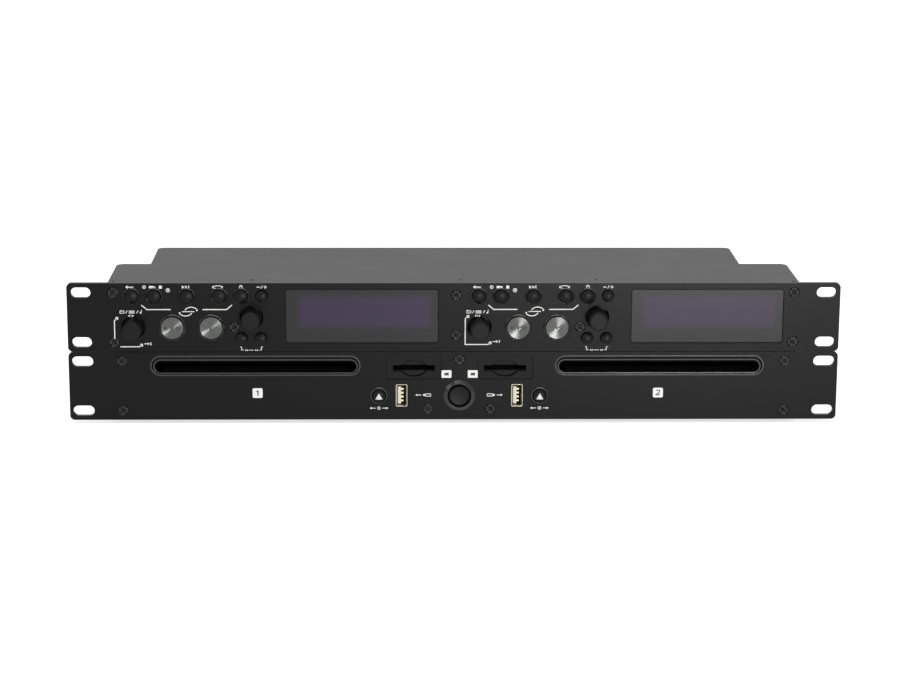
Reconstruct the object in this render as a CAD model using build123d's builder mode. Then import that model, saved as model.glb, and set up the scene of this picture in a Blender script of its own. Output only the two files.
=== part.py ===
from build123d import *
from math import asin, cos, sin
import os

# Two-deck disc player: a shallow control unit stacked on a deep drive unit, both one rack unit high.
# Millimetres. +X runs to the right seen from the front, the panels face -Y and +Z is up. The origin is
# on the table, under the middle of the whole player.

# Front panels
rack_width = 482.6
panel_height = 43.8
panel_thickness = 3.0
panel_corner = 3.0
panel_seam = 0.3
rack_hole_edge = 8.75
rack_hole_pitch_z = 31.75
rack_slot_height = 6.6
control_slot_length = 12.3
drive_slot_length = 13.3

# Sheet cases
case_width = 433.0
case_rise = 1.0
case_corner = 5.0
case_sheet = 1.2
cover_sheet = 1.0
cover_skirt = 8.0
cover_fit = 0.1
control_depth = 64.0
control_top_drop = 1.1
control_flange = 8.5
control_rail_depth = 16.0
control_rail_set_back = 2.0
drive_depth = 340.0
drive_top_drop = 2.1
drive_flange = 14.0
drive_ledge = 9.0
foot_height = 3.5
foot_radius = 9.0
foot_edge = 26.5
foot_set_back = 30.0
bumper_radius = 5.0
bumper_gap = 0.3
bumper_edge = 26.5
bumper_set_back = 12.0

# Countersunk screws
screw_radius = 1.45
screw_head_radius = 2.7
screw_rim = 0.2
screw_length = 9.0
cover_screw_length = 2.9
screw_recess = 3.4
screw_recess_width = 0.8
screw_recess_depth = 1.1
screw_slack = 0.05
panel_sink_radius = 3.5
cover_hole_slack = 0.15

# Control panel layout: X from each deck's select knob, Z from the panel's lower edge
deck_1_x = -200.2
deck_pitch = 216.0
top_row_z = 35.6
top_row_x = {"back": -0.8, "source": 13.2, "single": 33.3, "repeat": 53.6, "time": 67.2}
pitch_button_x = 80.0
transport_z = 15.5
transport_x = {"cue": 24.2, "play": 48.4}
search_z = 8.6
search_x = {"search_back": 67.3, "search_forward": 79.3}
select_z = 15.6
pitch_knob_x = 73.5
pitch_knob_z = 21.9
led_x = 21.8
led_z = 39.2
display_x = 142.45
display_z = 22.55
deck_screw_x = 62.8
deck_screw_z = 15.8
control_corner_screw_edge = 4.0
control_corner_screw_z = (6.1, 37.7)
control_middle_screw_x = 1.1
control_middle_screw_z = (10.5, 36.0)
cover_corner_screw_edge = 3.5
cover_corner_screw_set_back = 9.5
cover_middle_screws = ((-127.0, 15.0), (4.0, 15.0), (89.5, 15.0))

# Push buttons
button_radius = 4.0
bare_button_radius = 3.5
button_height = 2.2
button_crown = 1.1
button_gap = 0.4
button_travel = 0.8
button_lip = 0.9
button_flange = 1.0
button_stem_radius = 1.5
rest_gap = 0.3
collar_radius = 5.35
collar_height = 1.4
collar_chamfer = 0.5
sleeve_wall = 0.6
sleeve_fit = 0.05
transport_radius = 6.9
transport_height = 1.9
transport_crown = 0.25
transport_gap = 0.5
transport_ring_radius = 8.55
transport_ring_height = 1.1

# Knobs
knob_radius = 6.4
knob_face_radius = 5.7
knob_reach = 13.0
knob_gap = 1.0
knob_stand = 0.8
knob_edge = 0.8
knob_flutes = 30
flute_radius = 0.35
knob_bore_depth = 8.0
shaft_radius = 3.0
shaft_fit = 0.04
shaft_slack = 0.5
select_travel = 0.5
encoder_size = 12.0
encoder_depth = 6.0
bushing_radius = 3.8
bushing_length = 5.0

# Display windows, indicator lenses and the board behind the control panel
display_width = 95.1
display_height = 34.1
display_corner = 1.8
display_sink = 0.6
display_fit = 0.1
window_rim = 1.4
window_rim_thickness = 1.2
module_margin = 3.0
led_radius = 1.45
led_fit = 0.05
led_crown = 0.7
led_length = 4.5
board_depth = 16.0
board_thickness = 1.6
board_margin = 9.0
board_clearance = 0.8
switch_size = 6.0
switch_height = 3.0
plunger_radius = 1.7
plunger_height = 1.0
post_radius = 3.0

# Drive panel layout: X from the centre group, Z from the panel's lower edge
group_x = 3.2
slot_middle_x = 2.2
slot_spread = 253.6
slot_width = 125.5
slot_height = 6.4
slot_z = 32.9
slot_depth = 8.0
slot_mouth_width = 131.6
slot_mouth_height = 13.1
slot_mouth_z = 34.95
slot_mouth_edge = 0.8
slot_step_depth = 1.8
slot_step = 0.7
slot_funnel_depth = 4.0
throat_wall = 1.8
throat_height = 9.2
trim_fit = 0.05
drive_corner_screw_edge = 8.5
drive_corner_screw_z = (6.0, 38.0)
group_low_screw_x = 19.7
group_low_screw_z = 6.85
group_top_screw_z = 38.8
card_x = 28.6
card_z = 33.7
card_bezel_width = 34.7
card_bezel_height = 15.2
card_bezel_corner = 1.2
card_bezel_sink = 0.8
card_slot_z = 33.0
card_slot_width = 26.4
card_slot_height = 3.9
card_scoop_width = 19.5
card_scoop_height = 10.9
card_scoop_depth = 1.7
card_scoop_slope = 20.0
usb_x = 36.3
usb_z = 15.6
usb_hole_width = 8.2
usb_hole_height = 15.2
usb_mouth_width = 7.3
usb_mouth_height = 14.5
usb_inner_width = 5.3
usb_inner_height = 12.6
usb_wall = 0.4
usb_flare = 1.0
usb_corner = 0.8
usb_length = 14.0
usb_tongue = 1.9
usb_tongue_height = 11.0
usb_tongue_sink = 1.2
usb_contact_width = 1.1
usb_contact_pitch = 2.5
usb_contact_thickness = 0.25
power_z = 15.8
power_radius = 5.95
power_height = 1.6
power_dish = 0.35
power_gap = 0.95
power_travel = 2.0
power_ring_radius = 9.9
power_ring_height = 1.9
power_switch_size = 12.0
power_switch_height = 5.0
eject_x = 50.55
eject_z = 15.6
eject_radius = 3.9
eject_collar_radius = 5.6

# Disc mechanisms behind the slots
turntable_set_back = 80.0
disc_gap = 4.8
turntable_radius = 15.0
turntable_rim = 1.8
turntable_boss_radius = 7.3
turntable_boss = 1.3
hub_radius = 5.0
spindle_radius = 1.5
running_fit = 0.04
motor_radius = 11.0
motor_height = 6.0
frame_width = 132.0
frame_sheet = 1.5
frame_front = 11.0
frame_rear = 156.0
frame_foot = 4.0
frame_deck_z = 13.8
guide_sheet = 1.2
roller_radius = 4.0
roller_set_back = 17.0
roller_length = 118.0
rod_radius = 1.5
rod_spread = 32.0
rod_z = 20.5
sled_width = 40.0
sled_length = 24.0
sled_height = 7.0
sled_clearance = 1.0
sled_travel = 34.0
lens_radius = 3.0
lens_height = 1.2
bracket_size = 5.0

# Boards and power supply of the drive unit
group_board_width = 108.4
group_board_height = 22.0
group_board_z = 4.0
reader_width = 29.0
reader_height = 4.6
reader_length = 28.0
reader_wall = 0.5
main_board_size = (250.0, 140.0)
main_board_x = -75.0
main_board_set_back = 245.0
supply_board_size = (120.0, 100.0)
supply_board_x = 140.0
supply_board_set_back = 240.0
# Component blocks: place from the board's middle, then width, length and height
main_chips = {
    (-60.0, 20.0): (28.0, 28.0, 2.5),
    (10.0, 10.0): (20.0, 20.0, 2.0),
    (70.0, 30.0): (34.0, 12.0, 9.0),
}
supply_blocks = {
    (-30.0, -20.0): (44.0, 38.0, 24.0),
    (32.0, 0.0): (4.0, 70.0, 22.0),
    (8.0, 30.0): (18.0, 18.0, 20.0),
}
standoff_height = 5.0
standoff_radius = 3.0
standoff_inset = 6.0
vent_count = 14
vent_pitch = 7.0
vent_width = 2.6
vent_height = 20.0
vent_set_back = 240.0
vent_z = 20.0

# Sockets on the backs
phono_x = (-172.0, -156.0, -112.0, -96.0)
phono_z = 17.0
phono_reach = 9.0
phono_radius = 4.2
phono_hole_radius = 1.6
phono_flange_radius = 6.0
phono_flange = 1.0
phono_body_radius = 5.0
phono_body = 8.0
link_x = (-52.0, -22.0)
link_z = 17.0
control_link_x = (-150.0, 150.0)
control_link_z = 18.0
link_radius = 6.6
link_flange_radius = 8.5
link_flange = 1.2
link_body = 11.0
link_recess_radius = 4.4
link_recess = 0.6
link_pin_radius = 0.5
link_pin_circle = 2.9
link_pins = 7
socket_fit = 0.05
inlet_x = 165.0
inlet_z = 17.0
inlet_flange_width = 31.0
inlet_flange_height = 24.0
inlet_flange = 2.0
inlet_corner = 3.0
inlet_body_width = 27.2
inlet_body_height = 19.6
inlet_body = 18.0
inlet_cavity_width = 24.0
inlet_cavity_height = 16.4
inlet_cavity = 16.0
inlet_pin_pitch = 14.0
inlet_pin_width = 2.0
inlet_pin_height = 4.0
inlet_pin_length = 13.5
inlet_pin_drop = 2.2

# Places that follow from the sizes above
drive_base = foot_height - case_rise
control_base = drive_base + panel_height + panel_seam
panel_front = -(drive_depth + phono_reach - knob_reach) / 2
panel_back = panel_front + panel_thickness
drive_top = drive_base + panel_height - drive_top_drop
control_top = control_base + panel_height - control_top_drop
drive_floor = drive_base + case_rise
control_floor = control_base + case_rise
drive_wall_back = panel_front + drive_depth - cover_sheet - cover_fit
control_wall_back = panel_front + control_depth - cover_sheet - cover_fit
rack_hole_pitch_x = rack_width - 2 * rack_hole_edge
foot_spread_x = case_width - 2 * foot_edge
bumper_spread_x = case_width - 2 * bumper_edge
control_corner_screw_x = case_width / 2 - control_corner_screw_edge
drive_corner_screw_x = case_width / 2 - drive_corner_screw_edge
cover_corner_screw_x = case_width / 2 - cover_corner_screw_edge
cover_screws = [(side * cover_corner_screw_x, cover_corner_screw_set_back) for side in (-1, 1)]
cover_screws += cover_middle_screws
deck_x = (deck_1_x, deck_1_x + deck_pitch)
slot_x = (slot_middle_x - slot_spread / 2, slot_middle_x + slot_spread / 2)
board_front = -board_depth
switch_top = board_front + switch_height + plunger_height
turntable_y = panel_front + turntable_set_back
disc_floor = drive_base + slot_z - disc_gap / 2


os.makedirs("parts", exist_ok=True)


def write(part, name):
    """Label one finished piece and keep it as its own file."""
    part.label = name
    export_step(part, f"parts/{name}.step")


def facing_front(x, z, out=0.0):
    """Plane parallel to the panels, its normal towards the viewer, X to the right and Y up."""
    return Plane(origin=(x, panel_front - out, z), x_dir=(1, 0, 0), z_dir=(0, -1, 0))


def facing_back(x, z, y):
    """Plane parallel to the panels, its normal towards the back, X to the left and Y up."""
    return Plane(origin=(x, y, z), x_dir=(-1, 0, 0), z_dir=(0, 1, 0))


def towards_back(x, y, z):
    """Plane across the depth of the player, its normal towards the back and X to the right."""
    return Plane(origin=(x, y, z), x_dir=(1, 0, 0), z_dir=(0, 1, 0))


def front_axis(x, z):
    """Turning plane: X is the radius, and Y runs out of the front panel."""
    return Plane(origin=(x, panel_front, z), x_dir=(1, 0, 0), z_dir=(0, 0, -1))


def back_axis(x, z, y):
    """Turning plane: X is the radius, and Y runs out of the back."""
    return Plane(origin=(x, y, z), x_dir=(1, 0, 0), z_dir=(0, 0, 1))


def up_axis(x, y, z):
    """Turning plane: X is the radius, and Y runs up."""
    return Plane(origin=(x, y, z), x_dir=(1, 0, 0), z_dir=(0, -1, 0))


def side_axis(x, y, z):
    """Turning plane: X is the radius, and Y runs to the right along the player."""
    return Plane(origin=(x, y, z), x_dir=(0, 0, 1), z_dir=(0, -1, 0))


def turned(plane, points, crown=0.0):
    """Solid of revolution about a turning plane's Y axis, from (radius, height) points.

    The profile starts and ends on the axis. A crown bulges or, below zero, dishes the last flat."""
    edge_radius, edge_height = points[-1]
    tip = edge_height + crown
    with BuildPart() as solid:
        with BuildSketch(plane):
            with BuildLine():
                Polyline((0, points[0][1]), *points)
                if crown:
                    sphere = (edge_radius**2 + crown**2) / (2 * abs(crown))
                    half = asin(edge_radius / sphere) / 2
                    bulge = sphere * (cos(half) - 1)
                    middle = tip + (bulge if crown > 0 else -bulge)
                    ThreePointArc(points[-1], (sphere * sin(half), middle), (0, tip))
                else:
                    Line(points[-1], (0, tip))
                Line((0, tip), (0, points[0][1]))
            make_face()
        revolve(axis=Axis(plane.origin, plane.y_dir))
    return solid.part


def ring(plane, points):
    """Ring of revolution about a turning plane's Y axis, from a closed list of (radius, height) points."""
    with BuildPart() as solid:
        with BuildSketch(plane):
            with BuildLine():
                Polyline(*points, close=True)
            make_face()
        revolve(axis=Axis(plane.origin, plane.y_dir))
    return solid.part


def screw(plane, length):
    """Countersunk cross-head screw on a turning plane's Y axis, its head flush with the origin."""
    cone_end = -screw_rim - (screw_head_radius - screw_radius)
    profile = (
        (screw_radius, -length),
        (screw_radius, cone_end),
        (screw_head_radius, -screw_rim),
        (screw_head_radius, 0),
    )
    with BuildPart() as solid:
        add(turned(plane, profile))
        with BuildSketch(Plane(origin=plane.origin, x_dir=plane.x_dir, z_dir=plane.y_dir)):
            Rectangle(screw_recess, screw_recess_width)
            Rectangle(screw_recess_width, screw_recess)
        extrude(amount=-screw_recess_depth, mode=Mode.SUBTRACT)
    return solid.part


def gathered(parts):
    """Several separate solids as one part."""
    with BuildPart() as group:
        for part in parts:
            add(part)
    return group.part


def back_rounded(width, length, corner):
    """Face from y = 0 back to its length, rounded at the two back corners."""
    with BuildSketch() as outline:
        Rectangle(width, length, align=(Align.CENTER, Align.MIN))
        fillet(outline.vertices().group_by(Axis.Y)[-1], corner)
    return outline.sketch


# Every hole of the control panel, as (x, height above the lower edge) by kind
collared_buttons = [(x + dx, top_row_z) for x in deck_x for dx in top_row_x.values()]
bare_buttons = [(x + pitch_button_x, top_row_z) for x in deck_x]
bare_buttons += [(x + dx, search_z) for x in deck_x for dx in search_x.values()]
transports = [(x + dx, transport_z) for x in deck_x for dx in transport_x.values()]
select_knobs = [(x, select_z) for x in deck_x]
pitch_knobs = [(x + pitch_knob_x, pitch_knob_z) for x in deck_x]
knobs = select_knobs + pitch_knobs
leds = [(x + led_x, led_z) for x in deck_x]
displays = [(x + display_x, display_z) for x in deck_x]
control_corner_screws = [
    (side * control_corner_screw_x, z) for side in (-1, 1) for z in control_corner_screw_z
]
control_post_screws = [(control_middle_screw_x, z) for z in control_middle_screw_z]
control_post_screws += [(x + deck_screw_x, deck_screw_z) for x in deck_x]

# Every hole of the drive panel
slots = [(x, slot_z) for x in slot_x]
drive_corner_screws = [
    (side * drive_corner_screw_x, z) for side in (-1, 1) for z in drive_corner_screw_z
]
group_screws = [(group_x + side * group_low_screw_x, group_low_screw_z) for side in (-1, 1)]
group_screws.append((group_x, group_top_screw_z))
ejects = [(group_x + side * eject_x, eject_z) for side in (-1, 1)]
usbs = [(group_x + side * usb_x, usb_z) for side in (-1, 1)]
cards = [(group_x + side * card_x, card_z) for side in (-1, 1)]
rack_slots = [
    (side * rack_hole_pitch_x / 2, panel_height / 2 + level * rack_hole_pitch_z / 2)
    for side in (-1, 1)
    for level in (-1, 1)
]

# Clear holes that the panels and what sits in them share
sleeve_radius = button_radius + button_gap + sleeve_wall
transport_sleeve_radius = transport_radius + transport_gap + sleeve_wall
power_sleeve_radius = power_radius + power_gap + sleeve_wall
eject_sleeve_radius = eject_radius + button_gap + sleeve_wall
bare_hole_radius = bare_button_radius + button_gap
knob_hole_radius = knob_radius + knob_gap
screw_hole_radius = screw_radius + screw_slack


def panel_blank(base, slot_length):
    """Panel plate with its four rack slots, standing on the height of its lower edge."""
    with BuildPart() as plate:
        with BuildSketch(facing_front(0, base + panel_height / 2)):
            RectangleRounded(rack_width, panel_height, panel_corner)
        extrude(amount=-panel_thickness)
        with BuildSketch(facing_front(0, base)):
            with Locations(*rack_slots):
                SlotOverall(slot_length, rack_slot_height)
        extrude(amount=-panel_thickness, mode=Mode.SUBTRACT)
    return plate.part


def sink_screws(base, places):
    """Countersunk screw holes as one cutter, a little in front of the panel's face."""
    sink_depth = panel_sink_radius - screw_hole_radius
    profile = (
        (screw_hole_radius, -panel_thickness),
        (screw_hole_radius, -sink_depth),
        (panel_sink_radius, 0),
        (panel_sink_radius, 1),
    )
    return gathered([turned(front_axis(x, base + z), profile) for x, z in places])


# ---- Control unit: panel, case and cover ----

control_panel_cutter = sink_screws(control_base, control_corner_screws + control_post_screws)
with BuildPart() as control_front_panel:
    add(panel_blank(control_base, control_slot_length))
    with BuildSketch(facing_front(0, control_base)):
        with Locations(*collared_buttons):
            Circle(sleeve_radius + sleeve_fit)
        with Locations(*bare_buttons):
            Circle(bare_hole_radius)
        with Locations(*transports):
            Circle(transport_sleeve_radius + sleeve_fit)
        with Locations(*knobs):
            Circle(knob_hole_radius)
        with Locations(*leds):
            Circle(led_radius + led_fit)
        with Locations(*displays):
            RectangleRounded(display_width, display_height, display_corner)
    extrude(amount=-panel_thickness, mode=Mode.SUBTRACT)
    add(control_panel_cutter, mode=Mode.SUBTRACT)
write(control_front_panel.part, "control_front_panel")


def sheet_tray(floor, top, wall_back, flange):
    """Tray of bent sheet behind a panel: floor, sides, back with round corners, and two front flanges."""
    length = wall_back - panel_back
    walls = top - floor - case_sheet
    with BuildPart() as tray:
        with BuildSketch(Plane(origin=(0, panel_back, floor))):
            add(back_rounded(case_width, length, case_corner))
        extrude(amount=case_sheet)
        with BuildSketch(Plane(origin=(0, panel_back, floor + case_sheet))):
            add(back_rounded(case_width, length, case_corner))
            inner = back_rounded(case_width - 2 * case_sheet, length - case_sheet, case_corner - case_sheet)
            add(inner, mode=Mode.SUBTRACT)
        extrude(amount=walls)
        with BuildSketch(Plane(origin=(0, panel_back, floor + case_sheet))):
            for side in (-1, 1):
                with Locations((side * (case_width - flange) / 2, case_sheet / 2)):
                    Rectangle(flange, case_sheet)
        extrude(amount=walls)
    return tray.part


def skirt_screw_z(top):
    """Height of a cover's skirt and of its screws."""
    return top - cover_sheet - cover_skirt / 2


def sheet_cover(top, wall_back, screws_x):
    """Cover plate with a skirt down over the tray's back, held by screws through the skirt."""
    length = wall_back + cover_fit + cover_sheet - panel_back
    skirt_width = case_width - 4 * case_corner
    skirt_z = skirt_screw_z(top)
    with BuildPart() as cover:
        with BuildSketch(Plane(origin=(0, panel_back, top - cover_sheet))):
            add(back_rounded(case_width, length, case_corner))
        extrude(amount=cover_sheet)
        with BuildSketch(facing_back(0, skirt_z, wall_back + cover_fit)):
            Rectangle(skirt_width, cover_skirt)
        extrude(amount=cover_sheet)
        for x in screws_x:
            face_y = wall_back + cover_fit + cover_sheet
            add(cover_sink(back_axis(x, skirt_z, face_y)), mode=Mode.SUBTRACT)
    return cover.part


def cover_sink(plane):
    """Countersink through a cover, on a turning plane's Y axis from its outer face."""
    waist = screw_head_radius + cover_hole_slack - (cover_sheet - screw_rim)
    rim = screw_head_radius + cover_hole_slack
    return turned(plane, ((waist, -cover_sheet), (rim, -screw_rim), (rim, 1)))


control_skirt_x = (-160.0, 0.0, 160.0)
drive_skirt_x = (-190.0, -70.0, 70.0, 190.0)
relief_radius = screw_head_radius - (cover_sheet - screw_rim) + cover_hole_slack
case_top = control_top - cover_sheet
rail_width = case_width - 2 * case_sheet
rail_middle = control_rail_set_back + control_rail_depth / 2

with BuildPart() as control_case:
    add(sheet_tray(control_floor, case_top, control_wall_back, control_flange))
    with BuildSketch(Plane(origin=(0, panel_back, case_top - case_sheet))):
        with Locations((0, rail_middle)):
            Rectangle(rail_width, control_rail_depth)
    extrude(amount=case_sheet)
    with BuildSketch(Plane(origin=(0, panel_front, case_top))):
        with Locations(*cover_screws):
            Circle(relief_radius)
    extrude(amount=-case_sheet, mode=Mode.SUBTRACT)
    with BuildSketch(facing_front(0, control_base, -panel_thickness)):
        with Locations(*control_corner_screws):
            Circle(screw_hole_radius)
    extrude(amount=-case_sheet, mode=Mode.SUBTRACT)
    with BuildSketch(facing_back(0, skirt_screw_z(control_top), control_wall_back)):
        with Locations(*[(-x, 0) for x in control_skirt_x]):
            Circle(relief_radius)
    extrude(amount=-case_sheet, mode=Mode.SUBTRACT)
    with BuildSketch(facing_back(0, control_base + control_link_z, control_wall_back)):
        with Locations(*[(-x, 0) for x in control_link_x]):
            Circle(link_radius + socket_fit)
    extrude(amount=-case_sheet, mode=Mode.SUBTRACT)
write(control_case.part, "control_case")

with BuildPart() as control_top_cover:
    add(sheet_cover(control_top, control_wall_back, control_skirt_x))
    for x, set_back in cover_screws:
        add(cover_sink(up_axis(x, panel_front + set_back, control_top)), mode=Mode.SUBTRACT)
write(control_top_cover.part, "control_top_cover")

# ---- Control unit: windows, lenses, collars and the board ----

for deck, (x, z) in enumerate(displays, start=1):
    with BuildPart() as display_window:
        with BuildSketch(facing_front(x, control_base + z, -display_sink)):
            RectangleRounded(
                display_width - 2 * display_fit, display_height - 2 * display_fit, display_corner
            )
        extrude(amount=display_sink - panel_thickness)
        with BuildSketch(facing_front(x, control_base + z, -panel_thickness)):
            RectangleRounded(
                display_width + 2 * window_rim, display_height + 2 * window_rim, display_corner
            )
        extrude(amount=-window_rim_thickness)
    write(display_window.part, f"display_window_{deck}")

led_profile = ((led_radius, -led_length), (led_radius, 0))
deck_leds = gathered([turned(front_axis(x, control_base + z), led_profile, led_crown) for x, z in leds])
write(deck_leds, "deck_leds")


def collar(x, z, bore, outer, height):
    """Ring on the panel's face with a sleeve back through the panel; a button slides inside it."""
    sleeve = bore + sleeve_wall
    profile = (
        (bore, -panel_thickness),
        (sleeve, -panel_thickness),
        (sleeve, 0),
        (outer, 0),
        (outer, height - collar_chamfer),
        (outer - collar_chamfer, height),
        (bore + collar_chamfer / 2, height),
        (bore, height - collar_chamfer),
    )
    return ring(front_axis(x, z), profile)


button_collars = gathered(
    [
        collar(x, control_base + z, button_radius + button_gap, collar_radius, collar_height)
        for x, z in collared_buttons
    ]
    + [
        collar(
            x,
            control_base + z,
            transport_radius + transport_gap,
            transport_ring_radius,
            transport_ring_height,
        )
        for x, z in transports
    ]
)
write(button_collars, "button_collars")

board_low = control_floor + case_sheet + board_clearance
board_high = control_top - cover_sheet - case_sheet - board_clearance
board_width = case_width - 2 * board_margin
encoder_front = board_front + encoder_depth
module_depth = board_depth - panel_thickness - window_rim_thickness - rest_gap

with BuildPart() as control_board:
    with BuildSketch(facing_front(0, (board_low + board_high) / 2, board_front)):
        Rectangle(board_width, board_high - board_low)
    extrude(amount=-board_thickness)
    with BuildSketch(facing_front(0, control_base, board_front)):
        with Locations(*collared_buttons, *bare_buttons, *transports):
            Rectangle(switch_size, switch_size)
    extrude(amount=switch_height)
    with BuildSketch(facing_front(0, control_base, board_front + switch_height)):
        with Locations(*collared_buttons, *bare_buttons, *transports):
            Circle(plunger_radius)
    extrude(amount=plunger_height)
    with BuildSketch(facing_front(0, control_base, board_front)):
        with Locations(*displays):
            Rectangle(display_width - 2 * module_margin, display_height - 2 * module_margin)
    extrude(amount=module_depth)
    with BuildSketch(facing_front(0, control_base, board_front)):
        with Locations(*knobs):
            Rectangle(encoder_size, encoder_size)
    extrude(amount=encoder_depth)
    with BuildSketch(facing_front(0, control_base, encoder_front)):
        with Locations(*knobs):
            Circle(bushing_radius)
    extrude(amount=bushing_length)
    with BuildSketch(facing_front(0, control_base, board_front)):
        with Locations(*control_post_screws):
            Circle(post_radius)
    extrude(amount=board_depth - panel_thickness)
    with BuildSketch(facing_front(0, control_base, board_front)):
        with Locations(*control_post_screws):
            Circle(screw_hole_radius)
    extrude(amount=board_depth - panel_thickness, mode=Mode.SUBTRACT)
    with BuildSketch(facing_front(0, control_base, board_front)):
        with Locations(*knobs):
            Circle(shaft_radius + shaft_fit)
    extrude(amount=encoder_depth + bushing_length, mode=Mode.SUBTRACT)
write(control_board.part, "control_board")

# ---- Control unit: buttons ----


def push_button(x, z, radius, height, crown, stem_back, lip=button_lip):
    """Cap with a straight side, a retaining flange behind the panel and a stem down to its switch."""
    flange_front = -panel_thickness - rest_gap
    flange_back = flange_front - button_flange
    profile = (
        (button_stem_radius, stem_back),
        (button_stem_radius, flange_back),
        (radius + lip, flange_back),
        (radius + lip, flange_front),
        (radius, flange_front),
        (radius, height),
    )
    return turned(front_axis(x, z), profile, crown)


stem_back = switch_top + button_travel + rest_gap
for deck, x in enumerate(deck_x, start=1):
    for name, dx in top_row_x.items():
        cap = push_button(
            x + dx, control_base + top_row_z, button_radius, button_height, button_crown, stem_back
        )
        write(cap, f"{name}_button_{deck}")
    bare = {"pitch": (pitch_button_x, top_row_z)}
    bare.update({name: (dx, search_z) for name, dx in search_x.items()})
    for name, (dx, z) in bare.items():
        cap = push_button(
            x + dx, control_base + z, bare_button_radius, button_height, button_crown, stem_back
        )
        write(cap, f"{name}_button_{deck}")
    for name, dx in transport_x.items():
        cap = push_button(
            x + dx,
            control_base + transport_z,
            transport_radius,
            transport_height,
            -transport_crown,
            stem_back,
        )
        write(cap, f"{name}_button_{deck}")

# ---- Control unit: knobs and shafts ----

bore_radius = shaft_radius + shaft_fit


def knob_body(x, z, bore_depth):
    """Tapered knob with fine flutes around its side and a blind bore in its back."""
    edge_radius = knob_face_radius + knob_edge / 4
    profile = (
        (knob_radius, knob_stand),
        (edge_radius, knob_reach - knob_edge),
        (knob_face_radius - knob_edge, knob_reach),
    )
    with BuildPart() as flute:
        with BuildSketch(facing_front(x, z)):
            with Locations((knob_radius, 0)):
                Circle(flute_radius)
        with BuildSketch(facing_front(x, z, knob_reach - knob_edge)):
            with Locations((edge_radius, 0)):
                Circle(flute_radius / 2)
        loft()
    turning = Axis((x, panel_front, z), (0, -1, 0))
    flutes = [flute.part.rotate(turning, turn * 360 / knob_flutes) for turn in range(knob_flutes)]
    with BuildPart() as knob:
        add(turned(front_axis(x, z), profile))
        add(flutes, mode=Mode.SUBTRACT)
        if bore_depth:
            with BuildSketch(facing_front(x, z, knob_stand)):
                Circle(bore_radius)
            extrude(amount=bore_depth, mode=Mode.SUBTRACT)
    return knob.part


shaft_back = board_front + shaft_slack
for deck, (x, z) in enumerate(select_knobs, start=1):
    write(knob_body(x, control_base + z, knob_bore_depth), f"select_knob_{deck}")
    shaft_profile = (
        (shaft_radius, shaft_back + select_travel),
        (shaft_radius, knob_stand + knob_bore_depth - rest_gap),
    )
    write(turned(front_axis(x, control_base + z), shaft_profile), f"select_shaft_{deck}")

for deck, (x, z) in enumerate(pitch_knobs, start=1):
    with BuildPart() as pitch_knob:
        add(knob_body(x, control_base + z, 0))
        with BuildSketch(facing_front(x, control_base + z, shaft_back)):
            Circle(shaft_radius)
        extrude(amount=-shaft_back)
    write(pitch_knob.part, f"pitch_knob_{deck}")

# ---- Control unit: screws, link sockets and bumpers ----



def panel_screws(base, places):
    """Screws through a panel, their heads sunk a little below its face."""
    head_y = panel_front + panel_sink_radius - screw_head_radius - screw_rim - screw_slack
    axes = [Plane(origin=(x, head_y, base + z), x_dir=(1, 0, 0), z_dir=(0, 0, -1)) for x, z in places]
    return [screw(axis, screw_length) for axis in axes]


def skirt_screws(top, wall_back, places):
    """Screws through a cover's skirt into the tray's back."""
    face_y = wall_back + cover_fit + cover_sheet
    axes = [back_axis(x, skirt_screw_z(top), face_y) for x in places]
    return [screw(axis, cover_screw_length) for axis in axes]


control_screws = panel_screws(control_base, control_corner_screws + control_post_screws)
control_screws += [
    screw(up_axis(x, panel_front + set_back, control_top), cover_screw_length)
    for x, set_back in cover_screws
]
control_screws += skirt_screws(control_top, control_wall_back, control_skirt_x)
write(gathered(control_screws), "control_screws")


def link_socket(x, z, wall_back):
    """Round multi-pin socket in a back wall."""
    profile = (
        (link_radius, -link_body),
        (link_radius, 0),
        (link_flange_radius, 0),
        (link_flange_radius, link_flange),
        (link_recess_radius, link_flange),
        (link_recess_radius, link_flange - link_recess),
    )
    with BuildPart() as socket:
        add(turned(back_axis(x, z, wall_back), profile))
        with BuildSketch(facing_back(x, z, wall_back + link_flange - link_recess)):
            with PolarLocations(link_pin_circle, link_pins):
                Circle(link_pin_radius)
            Circle(link_pin_radius)
        extrude(amount=-link_body / 2, mode=Mode.SUBTRACT)
    return socket.part


write(
    gathered([link_socket(x, control_base + control_link_z, control_wall_back) for x in control_link_x]),
    "control_link_sockets",
)

bumper_y = (panel_front + bumper_set_back, control_wall_back - bumper_set_back)
bumpers = [
    turned(
        up_axis(side * bumper_spread_x / 2, y, drive_top),
        ((bumper_radius, bumper_gap), (bumper_radius, control_floor - drive_top)),
    )
    for side in (-1, 1)
    for y in bumper_y
]
write(gathered(bumpers), "control_bumpers")

# ---- Drive unit: panel, chassis and cover ----

drive_panel_cutter = sink_screws(drive_base, drive_corner_screws + group_screws)
with BuildPart() as drive_front_panel:
    add(panel_blank(drive_base, drive_slot_length))
    with BuildSketch(facing_front(0, drive_base)):
        with Locations(*[(x, slot_mouth_z) for x in slot_x]):
            SlotOverall(slot_mouth_width + 2 * trim_fit, slot_mouth_height + 2 * trim_fit)
        with Locations(*cards):
            RectangleRounded(
                card_bezel_width + 2 * trim_fit, card_bezel_height + 2 * trim_fit, card_bezel_corner
            )
        with Locations(*usbs):
            RectangleRounded(usb_hole_width, usb_hole_height, usb_corner)
        with Locations((group_x, power_z)):
            Circle(power_sleeve_radius + sleeve_fit)
        with Locations(*ejects):
            Circle(eject_sleeve_radius + sleeve_fit)
    extrude(amount=-panel_thickness, mode=Mode.SUBTRACT)
    add(drive_panel_cutter, mode=Mode.SUBTRACT)
write(drive_front_panel.part, "drive_front_panel")

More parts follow.
